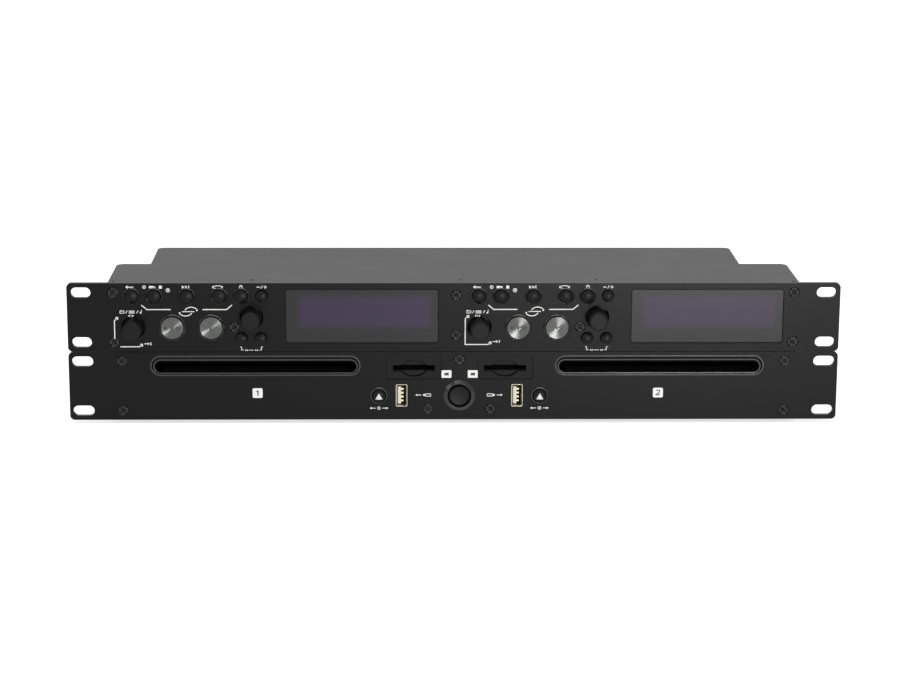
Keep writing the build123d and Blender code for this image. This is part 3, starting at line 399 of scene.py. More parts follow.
def repeating_tree(name, sizes, shape):
    """A tree that puts a shape on each point of its input; `shape` adds the nodes that make it."""
    tree = bpy.data.node_groups.new(name, "GeometryNodeTree")
    tree.interface.new_socket("Places", in_out="INPUT", socket_type="NodeSocketGeometry")
    for label in sizes:
        tree.interface.new_socket(label, in_out="INPUT", socket_type="NodeSocketFloat")
    tree.interface.new_socket("Finish", in_out="INPUT", socket_type="NodeSocketMaterial")
    tree.interface.new_socket("Pieces", in_out="OUTPUT", socket_type="NodeSocketGeometry")
    entry = add_node(tree, "NodeGroupInput")
    spread = add_node(
        tree, "GeometryNodeInstanceOnPoints",
        {"Points": entry.outputs["Places"], "Instance": shape(tree, entry.outputs)},
    )
    solid = add_node(
        tree, "GeometryNodeRealizeInstances", {"Geometry": spread.outputs["Instances"]}
    )
    coated = add_node(
        tree, "GeometryNodeSetMaterial",
        {"Geometry": solid.outputs["Geometry"], "Material": entry.outputs["Finish"]},
    )
    add_node(tree, "NodeGroupOutput", {"Pieces": coated.outputs["Geometry"]})
    return tree


def bar_shape(tree, sizes):
    """A plain rectangular bar, its length along Y."""
    extent = add_node(
        tree, "ShaderNodeCombineXYZ",
        {"X": sizes["Width"], "Y": sizes["Length"], "Z": sizes["Height"]},
    )
    bar = add_node(tree, "GeometryNodeMeshCube", {"Size": extent.outputs["Vector"]})
    return bar.outputs["Mesh"]


def washer_shape(tree, sizes):
    """A flat ring around the Y axis."""
    round_line = add_node(
        tree, "GeometryNodeCurvePrimitiveCircle", {"Resolution": 48, "Radius": sizes["Radius"]},
        mode="RADIUS",
    )
    section = add_node(
        tree, "GeometryNodeCurvePrimitiveQuadrilateral",
        {"Width": sizes["Width"], "Height": sizes["Height"]},
        mode="RECTANGLE",
    )
    swept = add_node(
        tree, "GeometryNodeCurveToMesh",
        {"Curve": round_line.outputs["Curve"], "Profile Curve": section.outputs["Curve"]},
    )
    turned = add_node(
        tree, "GeometryNodeTransform",
        {"Geometry": swept.outputs["Mesh"], "Rotation": (pi / 2, 0.0, 0.0)},
    )
    return turned.outputs["Geometry"]


# The name, the sizes and the shape of each repeating tree
BARS = ("Bars", ("Width", "Length", "Height"), bar_shape)
WASHERS = ("Washers", ("Radius", "Width", "Height"), washer_shape)


def repeated(name, kind, places, sizes, material, body):
    """Runs a repeating tree over places, with its sizes in their order, all in millimetres, and
    keeps the result as a plain mesh."""
    tree = bpy.data.node_groups.get(kind[0]) or repeating_tree(*kind)
    points = bpy.data.meshes.new(name + "_places")
    points.from_pydata([Vector(p) * MM for p in places], [], [])
    seed = new_object(name + "_seed", points)
    modifier = seed.modifiers.new("Repeat", "NODES")
    modifier.node_group = tree
    entries = [item for item in tree.interface.items_tree if item.in_out == "INPUT"]
    sockets = {item.name: item.identifier for item in entries}
    for label, value in zip(kind[1], sizes):
        modifier[sockets[label]] = value * MM
    modifier[sockets["Finish"]] = material
    bpy.context.view_layer.update()
    graph = bpy.context.evaluated_depsgraph_get()
    mesh = bpy.data.meshes.new_from_object(seed.evaluated_get(graph))
    seed.modifiers.remove(modifier)
    bpy.data.objects.remove(seed)
    if not mesh.polygons:
        raise RuntimeError(f"{name} came out empty")
    mesh.name = name
    bm = bmesh.new()
    bm.from_mesh(mesh)
    bmesh.ops.recalc_face_normals(bm, faces=bm.faces)
    bm.to_mesh(mesh)
    bm.free()
    add_piece(name, mesh, body)


# ---- Materials ----


def spun_aluminium(name, cx, cz):
    """Spun aluminium: turned on a lathe and clear anodised, so fine rings around its middle stretch
    each highlight into a bow tie. The rings are 0.7 mm apart, coarser than real ones, to show."""
    ring_width = 0.35  # millimetres, half the distance between two rings
    material, tree, place = new_surface(name)
    centred = add_node(
        tree, "ShaderNodeMapping", {"Vector": place, "Location": (-cx * MM, 0.0, -cz * MM)},
        vector_type="POINT",
    )
    flat = add_node(
        tree, "ShaderNodeVectorMath", {0: centred.outputs["Vector"], 1: (1.0, 0.0, 1.0)},
        operation="MULTIPLY",
    )
    outward = add_node(
        tree, "ShaderNodeVectorMath", {0: flat.outputs["Vector"]}, operation="NORMALIZE"
    )
    rings = add_node(
        tree, "ShaderNodeTexWave",
        {
            "Vector": flat.outputs["Vector"],
            # The node puts its rings pi / 10 apart at a scale of 1
            "Scale": 1000 / ring_width / 20 * pi, "Distortion": 0.6, "Detail": 2.0,
        },
        wave_type="RINGS",
        rings_direction="SPHERICAL",
    )
    tone = add_node(
        tree, "ShaderNodeMix",
        {0: rings.outputs["Fac"], 6: opaque(linear("4E4F4D")), 7: opaque(linear("626361"))},
        data_type="RGBA",
    )
    bump = add_node(
        tree, "ShaderNodeBump",
        {"Height": rings.outputs["Fac"], "Strength": 0.35, "Distance": 0.01 * MM},
    )
    shading = add_node(
        tree, "ShaderNodeBsdfPrincipled",
        {
            "Base Color": tone.outputs[2], "Metallic": 1.0, "Roughness": 0.3, "Anisotropic": 0.95,
            "Tangent": outward.outputs["Vector"], "Normal": bump.outputs["Normal"],
        },
    )
    add_node(tree, "ShaderNodeOutputMaterial", {"Surface": shading.outputs["BSDF"]})
    return material


def tinted_acrylic(name, cx, cz, low, high):
    """Smoke tinted acrylic, cast and faintly matted on its face: neutral grey around its edge, with
    the violet filter of the display module showing through the middle."""
    # Millimetres from the window's middle to the filter's edges, and half the width of their fade
    left, right, foot, top, fade = 39.5, 42.5, 7.0, 12.4, 2.6
    patch_size, haze_size = 26, 0.6
    material, tree, place = new_surface(name)
    axes = add_node(tree, "ShaderNodeSeparateXYZ", {"Vector": place})
    inside = None
    for axis, edge, rising in (
        ("X", cx - left, True),
        ("X", cx + right, False),
        ("Z", cz - foot, True),
        ("Z", cz + top, False),
    ):
        step = add_node(
            tree, "ShaderNodeMapRange",
            {
                "Value": axes.outputs[axis],
                "From Min": (edge - fade) * MM, "From Max": (edge + fade) * MM,
                "To Min": 0.0 if rising else 1.0, "To Max": 1.0 if rising else 0.0,
            },
            interpolation_type="SMOOTHSTEP",
        ).outputs["Result"]
        if inside:
            both = add_node(tree, "ShaderNodeMath", {0: inside, 1: step}, operation="MULTIPLY")
            inside = both.outputs["Value"]
        else:
            inside = step
    patch = add_node(
        tree, "ShaderNodeTexNoise", {"Vector": place, "Scale": 1000 / patch_size, "Detail": 2.0}
    )
    violet = add_node(
        tree, "ShaderNodeMix", {0: patch.outputs["Fac"], 6: opaque(low), 7: opaque(high)},
        data_type="RGBA",
    )
    tint = add_node(
        tree, "ShaderNodeMix", {0: inside, 6: opaque(linear("121214")), 7: violet.outputs[2]},
        data_type="RGBA",
    )
    haze = add_node(
        tree, "ShaderNodeTexNoise", {"Vector": place, "Scale": 1000 / haze_size, "Detail": 1.0}
    )
    bump = add_node(
        tree, "ShaderNodeBump",
        {"Height": haze.outputs["Fac"], "Strength": 0.3, "Distance": 0.004 * MM},
    )
    shading = add_node(
        tree, "ShaderNodeBsdfPrincipled",
        {
            "Base Color": tint.outputs[2], "Roughness": 0.26, "Specular IOR Level": 0.3,
            "Normal": bump.outputs["Normal"],
        },
    )
    add_node(tree, "ShaderNodeOutputMaterial", {"Surface": shading.outputs["BSDF"]})
    return material


INKS = {}


def make_inks():
    ink = bpy.context.scene.player_colours.ink
    # White ink, silk-screened: a flat, slightly uneven film without gloss
    INKS["white"] = finish(
        "white_screen_ink", [c * 0.9 for c in ink], ink,
        cloud=3.0, grain=0.25, depth=0.004, roughness=0.55,
    )
    # Black ink, silk-screened over the white: the signs on the white plates
    INKS["dark"] = finish(
        "black_screen_ink", linear("1A1A1C"), linear("232325"),
        cloud=3.0, grain=0.25, depth=0.004, roughness=0.5,
    )
    # Aluminium, etched and blackened: signs that stay dull on the bright caps
    INKS["etched"] = finish(
        "dark_etching", linear("262625"), linear("323231"),
        cloud=2.0, grain=0.2, depth=0.004, roughness=0.6, Specular_IOR_Level=0.2,
    )


# ---- Operators ----


class PLAYER_OT_cases(bpy.types.Operator):
    """Finishes the front panels, cases and covers"""

    bl_idname = "player.cases"
    bl_label = "Panels and cases"

    def execute(self, context):
        colours = context.scene.player_colours
        panel, case = Vector(colours.panel), Vector(colours.case)
        # Aluminium plate, bead blasted and black anodised: a silky near black with a fine grain
        anodised = finish(
            "black_anodised_aluminium", panel * 0.8, panel,
            cloud=70.0, grain=0.5, depth=0.006, roughness=0.31, spread=0.01, edge=0.25,
            Specular_IOR_Level=0.13,
        )
        # Steel sheet, powder coated in satin black: a soft sheen over a faint orange peel
        coated = finish(
            "black_powder_coat", case * 0.93, case,
            cloud=55.0, grain=1.1, depth=0.012, roughness=0.46, spread=0.015, edge=0.3,
            Specular_IOR_Level=0.4,
        )
        dress(anodised, "control_front_panel", "drive_front_panel")
        dress(coated, "control_case", "control_top_cover", "drive_chassis", "drive_top_cover")
        return {"FINISHED"}


class PLAYER_OT_controls(bpy.types.Operator):
    """Finishes the windows, buttons, knobs and caps of both decks"""

    bl_idname = "player.controls"
    bl_label = "Buttons, knobs and windows"

    def execute(self, context):
        colours = context.scene.player_colours
        button, window = Vector(colours.button), Vector(colours.window)
        # ABS, injection moulded in a polished tool: near black, with a soft light on each crown
        moulded = finish(
            "moulded_black_abs", button, button * 1.25,
            cloud=12.0, grain=0.35, depth=0.004, roughness=0.42, spread=0.03, edge=0.2,
            Specular_IOR_Level=0.14,
        )
        # Polycarbonate, injection moulded and glossy: rims that catch a thin bright arc
        glossy = finish(
            "glossy_black_polycarbonate", linear("09090A"), linear("0E0E0F"),
            cloud=15.0, grain=0.5, depth=0.002, roughness=0.16, spread=0.02, edge=0.3,
            Specular_IOR_Level=0.45,
        )
        # ABS moulded in a spark eroded tool: matt and slightly greyer than the buttons
        matt = finish(
            "spark_eroded_abs", linear("080809"), linear("0C0C0D"),
            cloud=9.0, grain=0.3, depth=0.02, roughness=0.44, spread=0.04, edge=0.3,
            Specular_IOR_Level=0.13,
        )
        # Epoxy, cast milky over the chip: pale grey while it is off
        epoxy = finish(
            "milky_led_epoxy", linear("9C9B97"), linear("B4B3AE"),
            cloud=2.0, grain=0.4, depth=0.003, roughness=0.2, Coat_Weight=0.4,
        )
        # Steel bar, turned bright: fine lathe marks and a grey shine
        turned = finish(
            "turned_steel", linear("8E8F90"), linear("A7A8A8"),
            cloud=4.0, grain=0.3, depth=0.006, roughness=0.3, Metallic=1.0,
        )
        dress(
            moulded,
            *per_deck("back_button", "source_button", "single_button", "repeat_button"),
            *per_deck("time_button", "pitch_button", "search_back_button"),
            *per_deck("search_forward_button", "eject_button"),
            "power_button",
        )
        dress(glossy, "button_collars", "lower_button_collars")
        dress(matt, *per_deck("select_knob", "pitch_knob"))
        dress(turned, *per_deck("select_shaft"))
        dress(epoxy, "deck_leds")
        for cap in per_deck("cue_button", "play_button"):
            place = middle(cap)
            dress(spun_aluminium(f"spun_aluminium_{cap}", place.x, place.z), cap)
        for deck in DECKS:
            pane = f"display_window_{deck}"
            place = middle(pane)
            name = f"smoked_acrylic_{deck}"
            dress(tinted_acrylic(name, place.x, place.z, window, window * 1.5), pane)
        return {"FINISHED"}


class PLAYER_OT_fittings(bpy.types.Operator):
    """Finishes the slot trims, bezels, sockets, screws, feet and the works inside"""

    bl_idname = "player.fittings"
    bl_label = "Trims, screws and works"

    def execute(self, context):
        # ABS, moulded semi-gloss: a deep black mouth with thin lit lips
        trim = finish(
            "semi_gloss_abs", linear("090909"), linear("0E0E0F"),
            cloud=30.0, grain=0.4, depth=0.004, roughness=0.25, spread=0.03, edge=0.3,
            Specular_IOR_Level=0.6,
        )
        # ABS, moulded satin: the card bezels, one tone off the panel
        bezel = finish(
            "satin_black_abs", linear("0A0A0A"), linear("0E0E0E"),
            cloud=20.0, grain=0.4, depth=0.008, roughness=0.34, spread=0.03, edge=0.3,
            Specular_IOR_Level=0.11,
        )
        # Steel, nickel plated over a bright base: warm mirror-like shells
        nickel = finish(
            "nickel_plated_steel", linear("A39D8E"), linear("BAB5A8"),
            cloud=3.0, grain=0.5, depth=0.003, roughness=0.2, spread=0.04, edge=0.15, Metallic=1.0,
        )
        # Steel, black oxide over a turned head: grey glints in the cross and on the rim
        oxide = finish(
            "black_oxide_steel", linear("161616"), linear("1D1D1D"),
            cloud=2.5, grain=0.3, depth=0.01, roughness=0.36, edge=0.15, Metallic=1.0,
        )
        # Polyester, moulded with glass fibre: dull black around contacts
        socket = finish(
            "moulded_black_polyester", linear("151515"), linear("1D1D1D"),
            cloud=8.0, grain=0.3, depth=0.01, roughness=0.5, spread=0.04, edge=0.2,
        )
        # Steel sheet coloured matt near black: painted shade, so the frames behind the slots read
        # as shadow and nothing glints there
        slot_shade = finish(
            "black_slot_shade_steel", linear("191A1B"), linear("232425"),
            cloud=14.0, grain=0.6, depth=0.01, roughness=0.6, edge=0.2,
            Metallic=0.5, Specular_IOR_Level=0.2,
        )
        # Aluminium, die cast: a dull, finely pitted grey
        cast = finish(
            "die_cast_aluminium", linear("86878A"), linear("9FA0A2"),
            cloud=5.0, grain=0.5, depth=0.03, roughness=0.5, edge=0.2, Metallic=1.0,
        )
        # Acetal, moulded: slippery black spindles and rollers
        acetal = finish(
            "moulded_black_acetal", linear("0A0A0B"), linear("101011"),
            cloud=7.0, grain=0.4, depth=0.006, roughness=0.5, spread=0.04, edge=0.2,
            Specular_IOR_Level=0.15,
        )
        # Glass-fibre board under a black solder mask: a glassy skin over a faint weave
        board = finish(
            "black_solder_mask", linear("0B100D"), linear("121914"),
            cloud=6.0, grain=0.7, depth=0.01, roughness=0.4, Specular_IOR_Level=0.3,
        )
        # Natural rubber, moulded: dense matt black
        rubber = finish(
            "moulded_rubber", linear("0A0A0A"), linear("0F0F0F"),
            cloud=5.0, grain=0.4, depth=0.02, roughness=0.75, edge=0.3,
            Specular_IOR_Level=0.1,
        )
        dress(trim, "slot_trims")
        dress(bezel, "card_bezels")
        dress(nickel, "usb_sockets", "rear_sockets")
        dress(oxide, "control_screws", "drive_screws")
        dress(socket, "control_link_sockets", "power_inlet")
        # Painted shade: the frames are coloured near black to darken the slots
        dress(slot_shade, "disc_frames")
        dress(cast, *per_deck("pickup_sled"))
        dress(acetal, *per_deck("turntable", "loading_roller"))
        dress(board, "control_board", "drive_circuit_boards", "power_supply")
        dress(rubber, "drive_feet", "control_bumpers")
        return {"FINISHED"}


def deck_marks(deck, marks):
    """Outlines of a deck's guide lines and icons, in millimetres right of its select knob and up
    from the foot of the panel."""
    wide, thin = marks.line_width, marks.icon_line
    # Guide line around the select knob: broken where a screw sits
    if deck == 1:
        bracket = [
            [(-10.2, 21.4), (-11.8, 19.8), (-11.8, 8.4)],
            [(-8.4, 3.2), (3.4, 3.2), (4.8, 4.2)],
        ]
    else:
        bracket = [[(-7.5, 22.5), (-9.1, 21.1), (-9.1, 4.5), (5.2, 4.5), (6.5, 5.5)]]
    push_x, push_z = bracket[-1][-1][0] + 1.6, bracket[-1][-1][1] + 0.9
    top, list_z, turn_z, search_z = 41.3, 25.4, 23.0, 0.95  # heights of the rows of icons
    return [
        # Guide lines between the top row and the caps
        stroke([(5.2, 29.9), (8.6, 27.0), (23.4, 27.0)], wide),
        stroke([(43.2, 27.0), (58.1, 27.0), (61.5, 29.9)], wide),
        disc(*bracket[0][0], marks.dot_radius),
        disc(*bracket[-1][-1], marks.dot_radius),
        *[stroke(line, wide) for line in bracket],
        # Back: an arrow to the left
        stroke([(-3.0, top), (0.6, top)], 0.6),
        arrow_head(-3.0, top, 1.05, -1),
        # Source: a disc, a memory stick and a card
        *hoop(7.2, top, 0.85, 0.85, thin),
        disc(7.2, top, 0.25), block(11.6, top, 2.6, 1.5), block(13.6, top, 1.1, 0.9),
        [(16.4, 40.3), (18.2, 40.3), (18.2, 41.7), (17.6, 42.3), (16.4, 42.3)],
        # One track: triangles up to a bar
        arrow_head(30.6, top, 1.05, 1), arrow_head(32.6, top, 1.05, 1), block(34.8, top, 0.55, 2.1),
        # Repeat: a flattened loop with two arrow heads
        stroke(arc(52.7, top, 3.0, 0.85, 20, 165, 14), thin),
        stroke(arc(52.7, top, 3.0, 0.85, 200, 345, 14), thin),
        arrow_head(49.4, top, 0.75, 1), arrow_head(56.0, top, 0.75, -1),
        # Time: a clock face
        *hoop(67.2, 41.4, 0.95, 0.95, thin),
        stroke([(67.2, 42.0), (67.2, 41.4), (67.8, 41.4)], 0.3),
        # Speed: minus and plus
        block(77.9, top, 1.8, 0.5),
        stroke([(79.5, 40.4), (80.6, 42.2)], thin),
        block(82.3, top, 1.9, 0.5), block(82.3, top, 0.5, 1.9),
        # Select: folders and tracks over two arrow heads
        *frame_outline(-6.9, list_z, 2.6, 1.4, thin),
        block(-7.6, 26.4, 1.2, 0.5),
        stroke([(-4.6, 24.6), (-3.6, 26.4)], thin),
        *[block(-0.9, height, 3.6, 0.42) for height in (26.1, list_z, 24.7)],
        stroke([(2.1, 24.6), (3.1, 26.4)], thin),
        disc(4.7, 25.0, 0.6), block(5.15, 25.9, 0.35, 1.8),
        arrow_head(-2.2, turn_z, 0.75, -1), arrow_head(-0.6, turn_z, 0.75, 1),
        block(-1.4, turn_z, 0.3, 1.5),
        # Press, beside the bracket's right end: an arrow head against a bar
        stroke([(push_x, push_z), (push_x + 2.4, push_z)], 0.5),
        arrow_head(push_x + 2.2, push_z, 0.85, 1),
        block(push_x + 4.2, push_z, 0.5, 1.9),
        # Search: double arrow heads each way with two corner marks
        *[arrow_head(x, search_z, 0.6, -1) for x in (69.9, 71.0)],
        *[arrow_head(x, search_z, 0.6, 1) for x in (75.6, 76.7)],
        block(73.3, search_z, 3.0, 0.35),
        stroke([(66.2, 3.0), (67.1, 3.0), (67.1, 1.1), (68.3, 1.1)], 0.4),
        stroke([(80.4, 3.0), (79.5, 3.0), (79.5, 1.1), (78.3, 1.1)], 0.4),
        # Loop: two sickles around a bar
        stroke(arc(36.1, 25.9, 3.9, 2.6, 25, 165, 16), 0.55),
        stroke(arc(32.5, 25.5, 3.9, 2.6, 205, 345, 16), 0.55),
        block(34.3, 25.7, 7.6, 0.5),
        arrow_head(39.2, 26.6, 0.8, 1), arrow_head(29.4, 24.8, 0.8, -1),
    ]


class PLAYER_OT_control_marks(bpy.types.Operator):
    """Prints the guide lines and icons on the control panel"""

    bl_idname = "player.control_marks"
    bl_label = "Marks of the control unit"

    def execute(self, context):
        outlines = []
        for deck, x in zip(DECKS, DECK_X):
            for outline in deck_marks(deck, context.scene.player_marks):
                outlines.append([(x + across, CONTROL_Z + up) for across, up in outline])
        printed("control_marks", outlines, INKS["white"], "control_unit")
        return {"FINISHED"}


class PLAYER_OT_window_shade_lines(bpy.types.Operator):
    """Lays a thin dark line around each display window, painted shade for the gap between window
    and panel
    """

    bl_idname = "player.window_seals"
    bl_label = "Painted shade around the windows"

    def execute(self, context):
        shade_lines = []
        for deck in DECKS:
            place = middle(f"display_window_{deck}")
            shade_lines += rounded_frame(place.x, place.z, 95.3, 34.3, line=0.5, corner=1.6)
        # Painted shade: the dark finish of the feet colours the shadow in the gap around each
        # window
        rubber = bpy.data.materials["moulded_rubber"]
        printed("window_seals", shade_lines, rubber, "control_unit")
        return {"FINISHED"}


class PLAYER_OT_drive_marks(bpy.types.Operator):
    """Prints the deck numbers, card plates and arrows of the drive unit"""

    bl_idname = "player.drive_marks"
    bl_label = "Marks of the drive unit"

    def execute(self, context):
        thin = context.scene.player_marks.icon_line
        # Deck numbers, each on a small square under its disc slot
        one, two, z = -123.5, 128.4, DRIVE_Z + 17.3
        white = [block(x, z, 6.3, 6.3, 0.9) for x in (one, two)]
        curl = arc(two, z + 0.75, 1.05, 0.95, 160, -45, 12)
        dark = [
            block(one + 0.2, z, 0.75, 3.4),
            stroke([(one + 0.2, z + 1.5), (one - 0.9, z + 0.7)], 0.6),
            stroke(curl + [(two - 1.15, z - 1.4), (two + 1.3, z - 1.4)], 0.65),
        ]
        # A card with one cut corner, on a plate beside each card slot
        z = DRIVE_Z + 29.5
        for x in (GROUP_X - 8.1, GROUP_X + 8.4):
            white.append(block(x, z, 6.2, 4.9, 0.5))
            left, right, foot, top = x - 1.4, x + 1.4, z - 0.9, z + 0.9
            cut = [(x - 0.8, top), (left, z + 0.3)]
            dark.append([(left, foot), (right, foot), (right, top), *cut])
        for side in SIDES:
            # Load and eject: a disc between two arrow heads
            x, z = GROUP_X + side * 50.55, DRIVE_Z + 7.4
            white += [*hoop(x, z, 0.85, 0.85, thin), disc(x, z, 0.25)]
            for way in SIDES:
                white.append(stroke([(x + way * 2.2, z), (x + way * 4.6, z)], thin))
                white.append(arrow_head(x + way * 4.6, z, 0.8, way))
            # Memory stick with an arrow to its socket
            x, z = GROUP_X + side * 22.1 - 0.2, DRIVE_Z + 15.9
            white += [
                *frame_outline(x - 2.6 * side, z, 3.4, 1.5, thin),
                block(x - 0.1 * side, z, 1.2, 1.1),
                stroke([(x + side * 1.6, z), (x + side * 4.2, z)], thin),
                arrow_head(x + side * 4.2, z, 0.75, side),
            ]
        printed("drive_marks", white, INKS["white"], "drive_unit")
        printed("drive_mark_signs", dark, INKS["dark"], "drive_unit", layer=2)
        return {"FINISHED"}


class PLAYER_OT_button_marks(bpy.types.Operator):
    """Etches a start and pause sign into each cue cap and prints a triangle on each eject button"""

    bl_idname = "player.button_marks"
    bl_label = "Marks on the buttons"

    def execute(self, context):
        for deck in DECKS:
            cap = f"cue_button_{deck}"
            x, _, z = middle(cap)
            signs = [
                arrow_head(x - 4.9, z, 1.25, 1),
                block(x + 3.1, z, 0.5, 2.4),
                block(x + 4.5, z, 0.5, 2.4),
                stroke([(x - 0.9, z - 1.7), (x + 0.9, z + 1.7)], 0.3),
            ]
            laid_on(f"cap_etching_{deck}", signs, INKS["etched"], cap)
            button = f"eject_button_{deck}"
            x, _, z = middle(button)
            triangle = [(x - 2.4, z - 1.9), (x + 2.4, z - 1.9), (x, z + 2.1)]
            laid_on(f"eject_mark_{deck}", [triangle], INKS["white"], button)
        return {"FINISHED"}


class PLAYER_OT_usb_contacts(bpy.types.Operator):
    """Adds the tongues and contacts of the two front sockets, and dark sheets inside them as
    painted shade
    """

    bl_idname = "player.usb_contacts"
    bl_label = "Contacts of the front sockets"

    def execute(self, context):
        # Nylon, moulded white: the tongue that carries the contacts
        nylon = finish(
            "moulded_white_nylon", linear("BFBDB4"), linear("CFCDC5"),
            cloud=3.0, grain=0.3, depth=0.004, roughness=0.4, spread=0.04, edge=0.1,
        )
        # Bronze, gold flashed: four warm strips
        gold = finish(
            "gold_flashed_bronze", linear("CBB88A"), linear("DFCFA6"),
            cloud=2.0, grain=0.3, depth=0.002, roughness=0.25, Metallic=1.0,
        )
        sockets = [(GROUP_X + side * 36.3, DRIVE_Z + 15.6) for side in SIDES]
        contact_gap, contact_height = 2.5, 1.16
        contacts = [(x, z + (i - 1.5) * contact_gap) for x, z in sockets for i in range(4)]
        repeated(
            "usb_tongues", BARS, [(x - 1.3, PANEL_Y + 7.15, z) for x, z in sockets],
            (1.96, 11.96, 11.06), nylon, "drive_unit",
        )
        repeated(
            "usb_contacts", BARS, [(x - 0.225, PANEL_Y + 7.2, z) for x, z in contacts],
            (0.31, 10.06, contact_height), gold, "drive_unit",
        )
        # The springy crests of the contacts, bowed towards a plug
        repeated(
            "usb_contact_crests", BARS, [(x + 0.5, PANEL_Y + 2.6, z) for x, z in contacts],
            (1.4, 0.9, contact_height), gold, "drive_unit",
        )
        # Dark sheets on the walls and floor behind the tongues: painted shade that keeps the
        # sockets' insides black
        mouth, end, floor = PANEL_Y + 1.7, PANEL_Y + 13.4, PANEL_Y + 13.3
        bm = bmesh.new()
        for x, z in sockets:
            for wall in frame_outline(x, z, 5.16, 12.46, 0.1):
                plate(bm, wall, mouth, end)
            plate(bm, block(x, z, 5.2, 12.5), floor, end)
        polyester = bpy.data.materials["moulded_black_polyester"]
        piece_from(bm, "usb_painted_shade", polyester, "drive_unit")
        return {"FINISHED"}


class PLAYER_OT_screw_highlight_rings(bpy.types.Operator):
    """Adds a paler ring on each screw head of the front panels, a painted highlight for the light
    on the head's rim
    """

    bl_idname = "player.screw_rings"
    bl_label = "Painted highlights on the screw heads"

    def execute(self, context):
        # Steel, black oxide, with a thin paler ring on each head: a painted highlight for the light
        # that each head's rim catches
        painted_highlight = finish(
            "painted_highlight_black_oxide_steel", linear("484848"), linear("545454"),
            cloud=1.5, grain=0.3, depth=0.004, roughness=0.4, Metallic=1.0,
        )
        for unit in ("control", "drive"):
            screws = f"{unit}_screws"
            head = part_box(screws)[0].y / MM - 0.01  # just in front of the heads
            # Painted highlight: a thin paler ring laid just in front of each head
            repeated(
                f"{unit}_screw_rings", WASHERS, [(x, head, z) for x, z in panel_screws(screws)],
                (1.65, 0.3, 0.04), painted_highlight, f"{unit}_unit",
            )
        return {"FINISHED"}


class PLAYER_OT_rear_sockets(bpy.types.Operator):
    """Adds the blades, inserts and faces of the sockets in the back wall"""

    bl_idname = "player.rear_sockets"
    bl_label = "Contacts of the rear sockets"

    def execute(self, context):
        # Brass, nickel plated: flat blades
        brass = finish(
            "nickel_plated_brass", linear("B9B6AC"), linear("CFCCC2"),
            cloud=3.0, grain=0.3, depth=0.003, roughness=0.22, Metallic=1.0,
        )
        # Polypropylene, moulded: the red and pale inserts of the audio sockets
        red = finish(
            "moulded_red_polypropylene", linear("8E1C1A"), linear("A32422"),
            cloud=4.0, grain=0.3, depth=0.004, roughness=0.4,
        )
        pale = finish(
            "moulded_pale_polypropylene", linear("C9C8C2"), linear("DBDAD4"),
            cloud=4.0, grain=0.3, depth=0.004, roughness=0.4,
        )
        # Two blades low and the earth blade high between them
        inlet = middle("power_inlet")
        blades = [
            (inlet.x + across, WALL_Y - 8.35, inlet.z + up)
            for across, up in ((-7, -2.2), (7, -2.2), (0, 2.2))
        ]
        repeated(
            "inlet_blades", BARS, blades, (2.06, 13.56, 4.06), brass, "drive_unit"
        )
        height = DRIVE_Z + 17.0
        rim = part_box("rear_sockets")[1].y / MM - 0.1
        link_columns = (-52, -22)
        for side, columns, plastic in (("right", (-172, -112), red), ("left", (-156, -96), pale)):
            repeated(
                f"audio_inserts_{side}", WASHERS, [(x, rim, height) for x in columns],
                (2.5, 1.5, 0.3), plastic, "drive_unit",
            )
        # The link sockets' black faces, pierced for their pins, inside their plated rims
        bm = bmesh.new()
        for x in link_columns:
            for radius, width in ((3.88, 0.9), (1.44, 1.8)):
                for half in hoop(x, height, radius, radius, width):
                    plate(bm, half, WALL_Y - 0.52, WALL_Y - 0.44)
        polyester = bpy.data.materials["moulded_black_polyester"]
        piece_from(bm, "link_faces", polyester, "drive_unit")
        return {"FINISHED"}


def seen_directly(tree):
    """1 for rays that see the surroundings as plain white: camera, glossy, transmission."""
    rays = add_node(tree, "ShaderNodeLightPath").outputs
    seen = rays["Is Camera Ray"]
    for kind in ("Is Glossy Ray", "Is Transmission Ray"):
        seen = add_node(tree, "ShaderNodeMath", {0: seen, 1: rays[kind]}, operation="MAXIMUM")
        seen = seen.outputs[0]
    return seen


